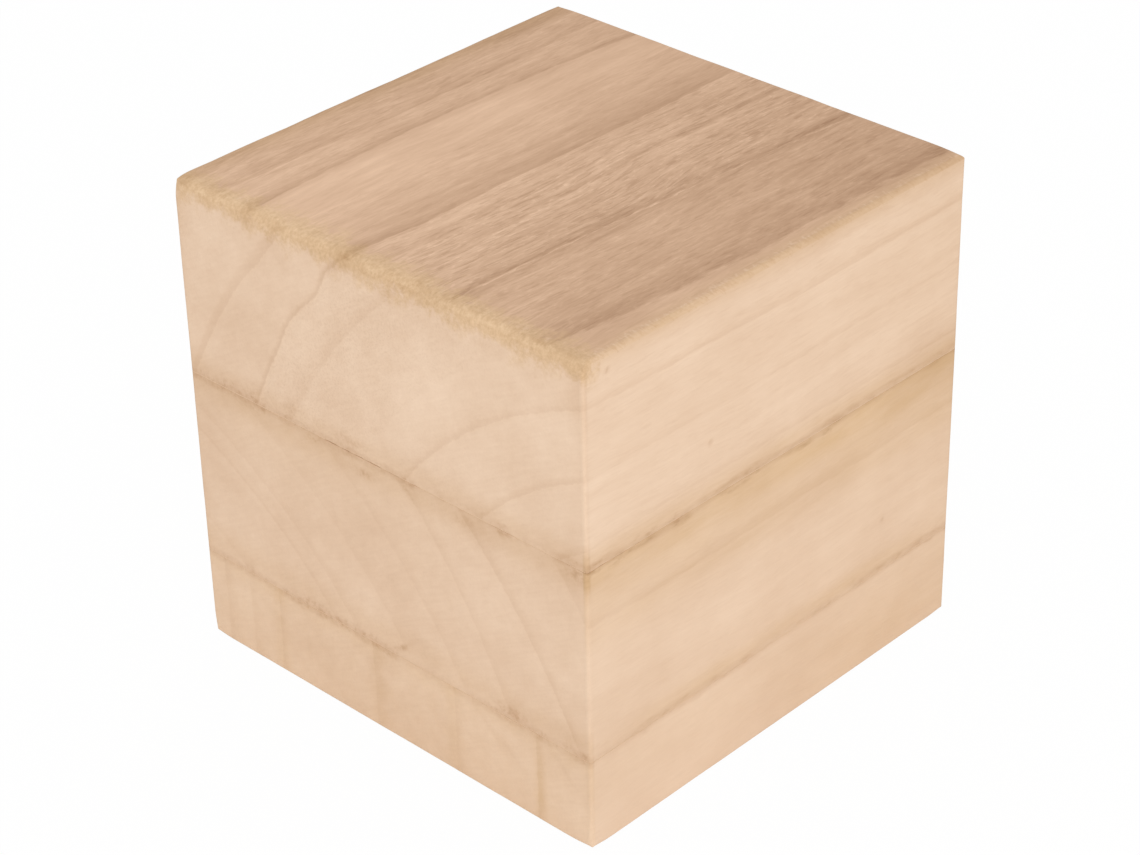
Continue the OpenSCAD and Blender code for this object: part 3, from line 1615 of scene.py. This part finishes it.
@dataclass
class GlueFilm:
    """A film of cured glue in a joint, flush where the joint is tight and set in where it gapes."""

    name: str
    body: SandedBlock
    joint: Joint
    noise: Lattice
    # How far the film stands in from the walls where the joint is tight, and how much more
    # where it gapes, in lumps
    flush: float = 0.008
    deep: float = 0.4
    lump: float = 1.6
    # How far its own arrises are rounded, and the spacing of its vertices
    rounding: float = 0.02
    step: float = 0.5
    # Faces that meet more sharply than this, in degrees, show a crisp edge
    sharp: float = 60.0

    def build(self) -> bpy.types.Object:
        """Make the film's mesh.

        Returns:
            The film's object.
        """
        low, high = (corner.z * MM_PER_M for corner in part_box(self.name))
        outline = self._outline()
        count = len(outline)
        rim = self.body.settle(np.c_[outline, np.full(count, self.joint.height)])
        gape = self.joint.gape(self.body.size, rim[:, 0], rim[:, 1])
        # From a fifth to one and two fifths as deep as usual
        rough = np.clip(self.noise.layered(rim, self.lump) * 1.5 + 0.8, 0.2, 1.4)
        inset = self.flush + self.deep * gape * rough
        half = np.array([self.body.size.half_length, self.body.size.half_width])
        rims = []
        levels = ((low, self.rounding), ((low + high) / 2, 0.0), (high, self.rounding))
        for height, rounding in levels:
            scale = 1 - (inset + rounding)[:, None] / half
            rims.append(np.c_[rim[:, :2] * scale, np.full(count, height)])
        ring = np.arange(count)
        after = np.roll(ring, -1)
        faces = []
        for level in (0, count):
            quads = np.stack(
                [ring + level, after + level, after + level + count, ring + level + count], axis=1
            )
            faces += quads.tolist()
        faces.append(ring[::-1].tolist())
        faces.append((ring + 2 * count).tolist())
        piece = make_mesh_object(self.name + "_cured", np.concatenate(rims), faces)
        mesh = piece.data
        store_values(mesh, OPEN, np.tile(gape, len(rims)))
        mesh.polygons.foreach_set("use_smooth", [True] * (len(faces) - 2) + [False] * 2)
        mesh.set_sharp_from_angle(angle=math.radians(self.sharp))
        return piece

    def _outline(self) -> np.ndarray:
        """The outline of the square block, anticlockwise, closer spaced towards its corners.

        Returns:
            Places along and across the grain, one row each.
        """
        x, y = self.body.size.half_length, self.body.size.half_width
        corners = [(-x, -y), (x, -y), (x, y), (-x, y)]
        sides = []
        for start, end in zip(corners, corners[1:] + corners[:1]):
            start, end = np.array(start), np.array(end)
            long = np.linalg.norm(end - start)
            lines = spaced(0.0, long, EASED_LINES, EASED_LINES, self.step)[:-1]
            sides.append(start + (end - start) * lines[:, None] / long)
        return np.concatenate(sides)


@dataclass(frozen=True)
class ViewPoint:
    """Where the camera stands and how it is turned, in metres and degrees."""

    aim: tuple[float, float, float]
    azimuth: float
    elevation: float
    distance: float
    roll: float
    lens: float
    sensor: float = 36.0

    def place(self) -> None:
        """Make the camera and set it as the scene's."""
        back = bearing(self.azimuth, self.elevation)
        right = (-back).cross(Vector((0, 0, 1))).normalized()
        up = right.cross(-back)
        roll = math.radians(self.roll)
        right, up = (
            right * math.cos(roll) + up * math.sin(roll),
            up * math.cos(roll) - right * math.sin(roll),
        )
        data = bpy.data.cameras.new("view")
        data.lens = self.lens
        data.sensor_width = self.sensor
        camera = link_object("view", data)
        turn = Matrix((right, up, back)).transposed().to_4x4()
        camera.matrix_world = Matrix.Translation(Vector(self.aim) + back * self.distance) @ turn
        bpy.context.scene.camera = camera


@dataclass(frozen=True)
class SoftBox:
    """A square soft light that faces the block, in metres, watts and degrees."""

    name: str
    azimuth: float
    elevation: float
    distance: float
    side: float
    power: float

    def place(self, aim: Vector) -> None:
        """Make the light.

        Args:
            aim: What it faces.
        """
        back = bearing(self.azimuth, self.elevation)
        data = bpy.data.lights.new(self.name, "AREA")
        data.size = self.side
        data.energy = self.power
        light = link_object(self.name, data)
        light.matrix_world = (
            Matrix.Translation(aim + back * self.distance)
            @ back.to_track_quat("Z", "Y").to_matrix().to_4x4()
        )


@dataclass(frozen=True)
class Studio:
    """A white floor and an evenly lit white room, with soft boxes."""

    boxes: tuple[SoftBox, ...]
    # Where the lights aim, in metres: the middle of the block
    aim: tuple[float, float, float] = (0.0, 0.0, 0.05)
    room_light: float = 0.8
    # Half the side of the floor, in millimetres
    floor_half: float = 4000.0
    floor_colour: str = "#fafafa"
    # How far the floor glows white to the camera, which all but hides the shadow on it
    floor_glow: float = 0.97

    def build(self) -> None:
        """Make the floor, the room and the lights."""
        self._floor()
        self._room()
        for box in self.boxes:
            box.place(Vector(self.aim))

    def _floor(self) -> None:
        """Lay the floor that the block stands on."""
        corners = np.array([(-1, -1, 0), (1, -1, 0), (1, 1, 0), (-1, 1, 0)]) * self.floor_half
        floor = make_mesh_object("studio_floor", corners, [(0, 1, 2, 3)])
        material = bpy.data.materials.new("studio_floor_matt_white_paint")
        tree = blank_tree(material)
        paint = add(tree, "ShaderNodeBsdfDiffuse", {"Color": linear(self.floor_colour)})
        glow = add(tree, "ShaderNodeEmission", {"Strength": 1.0})
        rays = add(tree, "ShaderNodeLightPath")
        share = add(tree, MATH, (rays.outputs["Is Camera Ray"], self.floor_glow), "MULTIPLY")
        mixed = add(tree, "ShaderNodeMixShader", (share, paint, glow))
        add(tree, "ShaderNodeOutputMaterial", {"Surface": mixed})
        floor.data.materials.append(material)

    def _room(self) -> None:
        """Make the room: white to the camera and glossy rays, a plain even light to the rest."""
        world = bpy.data.worlds.new("studio_room")
        tree = blank_tree(world)
        rays = add(tree, "ShaderNodeLightPath")
        seen = rays.outputs["Is Camera Ray"]
        for kind in ("Is Glossy Ray", "Is Transmission Ray"):
            seen = add(tree, MATH, (seen, rays.outputs[kind]), "MAXIMUM")
        strength = add(tree, RANGE, {0: seen, 3: self.room_light, 4: 1.0})
        colour = linear("#ffffff")
        background = add(tree, "ShaderNodeBackground", {"Color": colour, "Strength": strength})
        add(tree, "ShaderNodeOutputWorld", {"Surface": background})
        bpy.context.scene.world = world


def sanded_block(size: BlockSize) -> SandedBlock:
    """The block's outer form, with the easing of each edge.

    Args:
        size: The block's size.

    Returns:
        The form.
    """
    full = size.width
    return SandedBlock(
        size=size,
        noise=Lattice(Seed.OUTER_FORM),
        top_ends=(
            Easing(1.9, 0.3, (Wear(0.0, 3.0, 0.9), Wear(61.0, 5.0, 0.9), Wear(24.0, 3.0, 0.5))),
            Easing(1.2, 0.2, (Wear(0.0, 3.0, 0.4), Wear(full, 3.0, 0.5))),
        ),
        top_sides=(
            Easing(1.0, 0.25, (Wear(0.0, 2.5, 0.4), Wear(size.length, 3.0, 0.5))),
            Easing(1.0, 0.25, (Wear(0.0, 2.0, 0.5), Wear(size.length, 3.0, 0.2))),
        ),
        foot_ends=(
            Easing(0.7, 0.15, (Wear(0.0, 3.0, 0.5), Wear(full, 3.0, 0.6))),
            Easing(0.6),
        ),
        foot_sides=(
            Easing(0.7, 0.15, (Wear(0.0, 3.0, 0.6), Wear(size.length, 3.0, 0.3))),
            Easing(0.6, 0.15, (Wear(0.0, 3.0, 0.5),)),
        ),
        uprights=(
            Easing(0.6, 0.2, (Wear(0.0, 3.0, 0.6),)),
            Easing(0.7, 0.2),
            Easing(0.8, 0.2, (Wear(size.height, 2.5, 0.9), Wear(0.0, 3.0, 0.5))),
            Easing(0.7, 0.2),
        ),
    )


def top_growth(size: BlockSize) -> GrowthRings:
    """Rings of the top board, which fan out from below its front edge.

    Args:
        size: The block's size.

    Returns:
        The rings. A ring with a bare end shows only on the sides and the top.
    """
    bare = RingLook(0.0, 0.4, 0.0, 0.5)
    return GrowthRings(
        pith_across=134.0,
        pith_height=4.5,
        noise=Lattice(Seed.TOP_RINGS),
        block=size,
        rings=(
            Ring(67.2, RingLook(0.2, 0.5, 0.15, 0.47), RingLook(0.25, 0.4, 0.1, 0.5)),
            Ring(
                80.2, RingLook(0.25, 0.45, 0.1, 0.44), RingLook(0.2, 0.4, 0.1, 0.5),
                drift=(-0.9, -1.0, -0.5),
            ),
            Ring(
                97.4, RingLook(0.2, 0.4, 0.15, 0.46), RingLook(0.3, 0.5, 0.0, 0.72, 0.0, 0.35),
                turn=-6.0, drift=(-1.1, -1.9, -1.4),
            ),
            Ring(
                103.0, bare, RingLook(0.42, 0.7, 0.4, 0.74, 0.5, 0.66), drift=(0.0, -1.6, -1.9)
            ),
            Ring(
                113.6, bare, RingLook(0.8, 0.6, 0.0, 0.58, 0.0, 1.0), drift=(0.6, -0.8, -2.9)
            ),
            Ring(
                119.0, RingLook(0.05, 1.0, 0.32, 0.5), RingLook(0.3, 0.7, 0.0, 0.56, 0.0, 1.0),
                drift=(0.0, 2.2, 1.6),
            ),
            Ring(125.1, bare, RingLook(0.22, 0.1, 0.0, 0.52, 0.0, 0.8)),
            Ring(
                125.3, RingLook(0.36, 0.3, 0.1, 0.53), RingLook(0.36, 0.35, 0.75, 0.2, 0.1, 0.4),
                turn=7.0, drift=(0.0, -0.8, -0.8), kinks=((43.5, 0.5), (40.5, -0.9), (35.5, 0.6)),
            ),
            Ring(
                146.2, RingLook(0.24, 1.0, 0.1, 0.5), RingLook(0.1, 0.2, 0.0, 0.03, 0.4, 0.2),
                turn=-13.5, kinks=((37.0, -0.6),),
            ),
            Ring(
                148.6, bare, RingLook(0.5, 0.55, 0.1, 0.4, 0.0, 0.5), drift=(-1.4, 0.3, -2.2)
            ),
            Ring(154.6, bare, RingLook(0.25, 0.8, 0.2, 0.5, 0.0, 0.6), drift=(-0.3, -0.6, -0.2)),
            Ring(163.0, bare, RingLook(0.3, 0.3, 0.3, 0.5, 0.0, 0.5)),
            Ring(172.0, bare, RingLook(0.3, 0.3, 0.3, 0.5, 0.0, 0.5)),
        ),
    )


def middle_growth(size: BlockSize) -> GrowthRings:
    """Rings of the middle board, about a pith below and behind it.

    Args:
        size: The block's size.

    Returns:
        The rings.
    """
    side = RingLook(0.2, 0.5, 0.2)
    return GrowthRings(
        pith_across=-39.7,
        pith_height=-44.2,
        noise=Lattice(Seed.MIDDLE_RINGS),
        block=size,
        rings=(
            Ring(82.0, RingLook(0.05, 0.8, 0.1, 0.5), side),
            Ring(98.9, RingLook(0.1, 0.3, 0.1, 0.52), side),
            Ring(103.7, RingLook(0.12, 0.8, 0.1, 0.49), side),
            Ring(115.0, RingLook(0.05, 1.0, 0.1, 0.5), side),
            Ring(126.8, RingLook(0.07, 0.8, 0.1, 0.5), side),
            Ring(132.1, RingLook(0.12, 0.95, 0.1, 0.5), side, turn=15.0),
            Ring(154.8, RingLook(0.18, 0.7, 0.1, 0.52), RingLook(0.2, 0.4, 0.3), turn=-10.5),
            Ring(167.1, RingLook(0.05, 0.8, 0.2, 0.56), RingLook(0.25, 0.5, 0.2, 0.55)),
            Ring(180.0, RingLook(0.1, 0.5, 0.2, 0.55), RingLook(0.2, 0.5, 0.2, 0.55)),
        ),
    )


def bottom_growth(size: BlockSize) -> GrowthRings:
    """Rings of the bottom board, which stand upright, about a pith far behind it.

    Args:
        size: The block's size.

    Returns:
        The rings.
    """
    behind = 300.0
    side = RingLook(0.2, 0.5, 0.2, 0.5, 0.0, 0.3)
    return GrowthRings(
        pith_across=-behind,
        pith_height=9.0,
        noise=Lattice(Seed.BOTTOM_RINGS),
        block=size,
        bend=0.4,
        rings=(
            Ring(behind + 4.9, RingLook(0.12, 0.6, 0.1, 0.5), side),
            Ring(behind + 12.0, RingLook(0.08, 0.8, 0.1, 0.5), side),
            Ring(behind + 19.8, RingLook(0.11, 0.4, 0.18, 0.5), side),
            Ring(behind + 45.7, RingLook(0.09, 0.9, 0.15, 0.5), side),
            Ring(behind + 66.9, RingLook(0.09, 0.9, 0.12, 0.5), side),
            Ring(behind + 87.3, RingLook(0.17, 0.75, 0.15, 0.48), side),
            Ring(behind + 103.0, RingLook(0.1, 0.5, 0.1, 0.5), side),
        ),
    )


# The patches below are listed by where their middle is, their reach and rise, and their shade


def top_patches() -> tuple[Patch, ...]:
    """Where the top board is darker, paler or yellower than its rings make it.

    Returns:
        The patches.
    """
    faces = (Face.NEAR_END, Face.FRONT, Face.TOP)
    near, front, top = (partial(Patch, face) for face in faces)
    return (
        near(50.0, 60.5, WHOLE, 2.6, 3.5, stain=0.2),
        near(60.0, 82.0, 24.0, 11.0, -2.5),
        # Painted shade beside the front upright edge, where its rounding catches the light
        near(100.0, 80.0, 4.0, WHOLE, 2.0),
        near(12.5, 59.3, 8.0, 1.6, 2.0, crumbs=0.5),
        near(18.0, 61.2, 2.5, 1.8, crumbs=0.3),
        near(27.5, 61.2, 2.0, 1.8, crumbs=0.4),
        near(42.5, 60.8, 4.5, 1.4, crumbs=0.4),
        near(50.0, 78.0, WHOLE, 16.0, -1.0),
        # The rubbed edge is browner where a ring runs out over it
        near(10.0, 97.0, 2.0, 1.6, 5.0),
        near(19.5, 97.0, 2.2, 1.8, 7.0),
        near(44.5, 97.0, 2.6, 1.6, 5.0),
        near(62.0, 97.0, 3.0, 1.6, 5.0),
        near(97.0, 97.0, 4.0, 1.6, 5.0),
        near(41.5, 95.0, 3.2, 0.8, 7.0, slope=0.85),
        # It is paler where it was rubbed hardest
        near(12.0, 97.6, 7.0, 1.3, -4.0),
        near(25.0, 97.4, 5.0, 1.6, -4.5),
        near(50.0, 94.0, 3.0, 2.0, -4.0),
        # Below it the end grain is darker in places
        near(79.0, 94.2, 5.0, 2.2, 5.5, stain=0.05),
        near(27.5, 93.0, 4.0, 4.0, 3.5),
        near(98.5, 91.5, 3.5, 4.0, 5.0, stain=0.05),
        near(1.0, 94.0, 3.0, 5.0, 5.0, stain=0.1),
        # So is the top beside it
        top(1.5, 10.0, 2.5, 2.0, 5.0),
        top(2.5, 19.5, 3.5, 1.4, 9.0),
        top(3.0, 44.8, 4.5, 1.4, 12.0),
        top(1.5, 62.0, 2.0, 2.5, 6.0),
        top(1.0, 96.5, 2.5, 3.5, 6.0),
        front(50.0, 98.0, WHOLE, 1.8, 2.5, stain=0.3),
        front(50.0, 93.2, WHOLE, 3.6, -4.0),
        front(50.0, 70.0, WHOLE, 5.0, -2.5),
        front(50.0, 60.3, WHOLE, 2.4, 1.5, stain=0.4),
        front(88.0, 62.0, 18.0, 2.5, 3.5),
        # Painted light: the front is lighter towards the near end, where the lamp's light is stronger
        front(0.0, 80.0, 45.0, WHOLE, -1.5),
        front(50.0, 82.0, WHOLE, 12.0, -1.2),
        # Painted shade: the front is darker and a little yellower towards the far end, where the
        # light falls off
        front(105.0, 80.0, 45.0, WHOLE, 1.0, stain=0.08),
        # Pin knots
        front(5.6, 95.4, 0.5, 0.45, 20.0),
        front(31.0, 70.0, 0.5, 0.45, 18.0),
        # Painted shade: the top is lighter towards the near end and darker towards the far end, as
        # the light falls off; it is also darker and yellower along the back edge
        top(-5.0, 50.0, 50.0, WHOLE, -4.0),
        top(110.0, 60.0, 42.0, WHOLE, 7.0),
        top(50.0, 0.8, WHOLE, 3.2, 17.0, stain=0.4),
        # Streaks and bands along the grain
        top(30.0, 9.8, 5.0, 1.3, 5.0),
        top(72.0, 11.5, 9.0, 1.0, 5.0, slope=0.12),
        top(92.0, 73.8, 12.0, 0.8, 8.0),
        top(50.0, 43.5, WHOLE, 2.4, 5.0),
        top(50.0, 57.4, WHOLE, 0.8, 2.0),
        top(50.0, 58.9, WHOLE, 1.6, -10.0),
        top(50.0, 64.0, WHOLE, 4.0, 3.0),
        top(50.0, 27.0, WHOLE, 7.0, 2.0),
        top(50.0, 38.0, WHOLE, 2.0, -3.0),
        top(50.0, 99.4, WHOLE, 1.8, 1.0, stain=0.3),
        top(70.0, 95.0, 28.0, 1.0, -5.0),
        top(80.0, 97.0, 25.0, 0.8, 3.5),
        top(66.0, 99.2, 26.0, 0.8, -3.5),
        # Paler places beside the rubbed edge
        top(5.5, 67.0, 3.0, 2.5, -5.0),
        top(7.0, 82.5, 5.0, 3.5, -5.0),
        top(6.5, 7.0, 3.5, 7.0, -3.0),
    )


def middle_patches() -> tuple[Patch, ...]:
    """Where the middle board is darker, paler or yellower than its rings make it.

    Returns:
        The patches.
    """
    near, front = (partial(Patch, face) for face in (Face.NEAR_END, Face.FRONT))
    return (
        near(50.0, 57.2, WHOLE, 3.2, 5.0, stain=0.25),
        # Painted light beside the front upright edge, where its rounding catches the light
        near(100.0, 40.0, 4.0, WHOLE, -2.0),
        near(25.0, 54.0, 35.0, 7.0, 2.3, stain=0.12),
        near(50.0, 22.2, WHOLE, 3.5, 2.0, stain=0.2),
        near(55.5, 22.9, 3.2, 0.7, 5.0, slope=0.75),
        near(15.5, 58.3, 6.0, 1.1, 2.0, crumbs=0.5),
        near(33.5, 57.7, 2.4, 0.9, crumbs=0.55),
        near(46.5, 55.6, 2.2, 0.8, crumbs=0.7),
        near(71.5, 56.8, 3.0, 1.4, crumbs=0.32),
        near(81.0, 58.2, 1.8, 0.8, 3.0, crumbs=0.75),
        near(98.5, 57.6, 3.0, 1.5, crumbs=0.65),
        # The ring that meets the joint drank glue
        near(56.2, 57.4, 2.4, 0.6, 8.0, slope=-0.75, crumbs=0.3),
        # Crumbs along the lower joint
        near(12.5, 19.9, 2.0, 0.9, crumbs=0.5),
        near(29.5, 19.9, 5.0, 1.1, crumbs=0.7),
        near(36.5, 19.7, 1.5, 0.8, 3.0, crumbs=0.75),
        near(44.0, 19.7, 5.0, 1.0, crumbs=0.7),
        near(53.5, 21.2, 2.0, 0.8, slope=0.6, crumbs=0.7),
        near(81.5, 20.6, 3.5, 1.3, 2.0, crumbs=0.75),
        near(89.0, 19.6, 1.8, 0.7, 2.0, crumbs=0.75),
        near(95.0, 19.8, 1.4, 0.9, crumbs=0.7),
        near(99.0, 19.7, 1.8, 0.9, 2.0, crumbs=0.75),
        # Glue that soaked in below the upper joint, lower towards the far end
        front(50.0, 57.2, WHOLE, 5.0, 1.5, stain=0.62),
        # Painted light: the front is lighter towards the near end, where the lamp's light is stronger
        front(0.0, 40.0, 45.0, WHOLE, -1.5),
        front(50.0, 35.0, WHOLE, 10.0, -1.8),
        front(50.0, 49.5, WHOLE, 2.5, -1.5),
        # Painted shade: the front is darker and a little yellower towards the far end, where the
        # light falls off
        front(105.0, 40.0, 45.0, WHOLE, 1.0, stain=0.08),
        front(60.0, 56.0, 19.0, 4.0, -4.5),
        front(95.0, 56.0, 12.0, 4.0, 3.0),
        front(50.0, 45.5, WHOLE, 2.5, 1.0, stain=0.12),
        front(85.0, 51.0, 38.0, 8.0, stain=0.35),
        front(25.0, 49.5, 35.0, 7.0, stain=0.25),
        front(30.0, 21.2, 20.0, 2.0, 0.5, stain=0.42),
        front(75.0, 21.4, 24.0, 2.0, stain=0.4),
        front(40.0, 45.5, 12.0, 1.2, 3.0, slope=0.05),
        front(79.5, 30.6, 0.5, 0.45, 14.0),
    )


def bottom_patches() -> tuple[Patch, ...]:
    """Where the bottom board is darker, paler or yellower than its rings make it.

    Returns:
        The patches.
    """
    near, front = (partial(Patch, face) for face in (Face.NEAR_END, Face.FRONT))
    return (
        front(50.0, 14.0, WHOLE, 6.0, stain=0.1),
        front(80.0, 5.0, 25.0, 6.0, stain=0.25),
        near(50.0, 10.0, WHOLE, WHOLE, -2.5, stain=0.19),
        near(50.0, 17.8, WHOLE, 2.0, stain=0.12),
        # Painted shade beside the front upright edge, where its rounding catches the light
        near(94.0, 10.0, 5.0, WHOLE, 1.5),
        # Painted light: the front is lighter towards the near end, where the lamp's light is stronger
        front(0.0, 10.0, 45.0, WHOLE, -2.5),
        # Painted shade: the front is darker and a little yellower towards the far end, where the
        # light falls off
        front(105.0, 10.0, 45.0, WHOLE, 1.0, stain=0.12),
        near(55.0, 10.0, 25.0, WHOLE, 1.5),
        # The browner bands that follow the ring boundaries
        near(20.0, 10.0, 1.9, WHOLE, 0.5, stain=0.2),
        near(46.8, 10.0, 2.0, WHOLE, 1.0, stain=0.15),
        near(66.5, 10.0, 2.0, WHOLE, 1.0, stain=0.15),
        near(88.0, 6.0, 1.2, 12.0, 0.5, stain=0.4),
        near(76.0, 14.3, 3.0, 0.7, 4.5, slope=-0.8),
        near(80.0, 12.5, 3.0, 0.7, 3.5, slope=-0.8),
        near(94.5, 14.0, 2.8, 0.7, 4.0, slope=-1.1),
    )


def glue_lines(lower: float, upper: float) -> tuple[Joint, Joint]:
    """The two joints, with how each shows on the walls.

    A stretch that starts or ends past a corner runs round it at full strength.

    Args:
        lower: Height of the lower joint.
        upper: Height of the upper joint.

    Returns:
        The lower joint and the upper one.
    """
    near, front, far, back = (partial(JointRun, wall) for wall in WALLS)
    # Where each stretch starts and ends, then its gape, smudge, lift and fade
    upper_runs = (
        near(-5.0, 10.0, 0.02, 0.65, -0.25, 4.0),
        near(7.0, 22.0, 0.03, 0.8, 0.1, 4.0),
        near(20.0, 40.0, 0.03, 0.5, 0.1, 3.0),
        near(37.0, 51.0, 0.32, 0.5),
        near(41.0, 46.0, 0.32, 0.75, 0.0, 3.0),
        near(50.0, 60.0, 0.15, 0.55),
        near(60.0, 105.0, 0.0, 0.22, 0.3),
        near(76.0, 80.0, 0.0, 0.25, 0.3, 3.0),
        near(78.5, 83.0, 0.1, 0.5, 0.4, 2.0),
        near(93.0, 105.0, 0.08, 0.55, 0.55, 3.0),
        front(-5.0, 11.0, 0.14, 0.85, 0.25, 4.0),
        front(9.0, 27.0, 0.08, 0.8, -0.3, 4.0),
        front(27.0, 51.0, 0.04, 0.78, 0.4, 5.0),
        front(49.0, 60.0, 0.04, 0.85, 0.0, 5.0),
        front(59.0, 72.0, 0.05, 0.85, 0.2, 5.0),
        front(71.0, 84.0, 0.07, 0.62, 0.25, 4.0),
        front(82.0, 105.0, 0.06, 0.56, 0.35, 4.0),
        back(-5.0, 105.0, 0.1, 0.5),
        back(20.0, 60.0, 0.25, 0.65),
        far(-5.0, 105.0, 0.06, 0.5),
        far(30.0, 48.0, 0.3, 0.7),
    )
    lower_runs = (
        near(-5.0, 22.0, 0.02, 0.45, 0.0, 3.0),
        near(20.0, 35.0, 0.02, 0.66, -0.2, 4.0),
        near(33.0, 53.0, 0.03, 0.65, -0.1, 3.0),
        near(50.0, 105.0, 0.0, 0.25, -0.2),
        near(74.0, 91.0, 0.04, 0.5, 0.0, 3.0),
        near(96.0, 105.0, 0.05, 0.6, 0.0, 3.0),
        front(-5.0, 14.0, 0.03, 0.3, 0.1),
        front(12.0, 44.0, 0.03, 0.58, 0.15, 4.0),
        front(40.0, 70.0, 0.01, 0.3, 0.35),
        front(59.0, 66.0, 0.01, 0.45, 0.35, 3.0),
        front(70.0, 105.0, 0.01, 0.6, 0.5, 4.0),
        back(-5.0, 105.0, 0.05, 0.45, 0.3),
        far(-5.0, 105.0, 0.05, 0.45, 0.3),
        far(12.0, 30.0, 0.2, 0.65),
    )
    return Joint(lower, lower_runs), Joint(upper, upper_runs)


def dress(piece: bpy.types.Object, material: bpy.types.Material, node: str) -> None:
    """Give a piece its material and its place in the frame.

    Args:
        piece: The finished piece.
        material: Its finish.
        node: The CAD node it stands for.
    """
    piece.data.materials.append(material)
    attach(piece, "root")
    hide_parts(node)
    triangles = sum(len(p.vertices) - 2 for p in piece.data.polygons)
    LOG.info("%s: %d triangles, %s", piece.name, triangles, material.name)


def main() -> None:
    """Build the block, the studio and the camera."""
    logging.basicConfig(level=logging.INFO, format="%(name)s: %(message)s")
    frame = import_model()
    size = BlockSize.from_frame(frame["nodes"])
    LOG.info("block %.1f by %.1f by %.1f mm", size.length, size.width, size.height)
    body = sanded_block(size)
    heights = []
    for name in ("lower_glue_film", "upper_glue_film"):
        low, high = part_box(name)
        heights.append((low.z + high.z) / 2 * MM_PER_M)
    lower, upper = glue_lines(*heights)

    noise = Lattice(Seed.ARRISES)
    boards = (
        (
            Board("top_board", body, top_growth(size), Face.TOP, (upper,), top_patches(), noise),
            PaulowniaFinish("paulownia_planed_and_sanded", has_aged_top=True),
        ),
        (
            Board(
                "middle_board", body, middle_growth(size), None, (lower, upper),
                middle_patches(), noise,
            ),
            PaulowniaFinish("paulownia_belt_sanded", figure=0.75),
        ),
        (
            Board(
                "bottom_board", body, bottom_growth(size), Face.FOOT, (lower,),
                bottom_patches(), noise,
            ),
            PaulowniaFinish("paulownia_quarter_sawn_sanded", figure=0.6),
        ),
    )
    for board, finish in boards:
        dress(board.build(), finish.material(board), board.name)

    films = (
        GlueFilm("lower_glue_film", body, lower, Lattice(Seed.LOWER_FILM)),
        GlueFilm("upper_glue_film", body, upper, Lattice(Seed.UPPER_FILM)),
    )
    glue = CuredGlueFinish().material()
    for film in films:
        dress(film.build(), glue, film.name)

    Studio(
        boxes=(
            SoftBox(
                "front_soft_box", azimuth=321.5, elevation=24.0, distance=1.5, side=1.2, power=7.3
            ),
            SoftBox(
                "back_soft_box", azimuth=120.0, elevation=50.0, distance=1.8, side=1.2, power=2.0
            ),
        )
    ).build()
    ViewPoint(
        aim=(-0.002487, -0.000995, 0.045311),
        azimuth=314.137,
        elevation=31.528,
        distance=0.58115,
        roll=-1.312,
        lens=98.425,
    ).place()
    bpy.context.scene.view_settings.view_transform = "Standard"


if __name__ == "__main__":
    main()
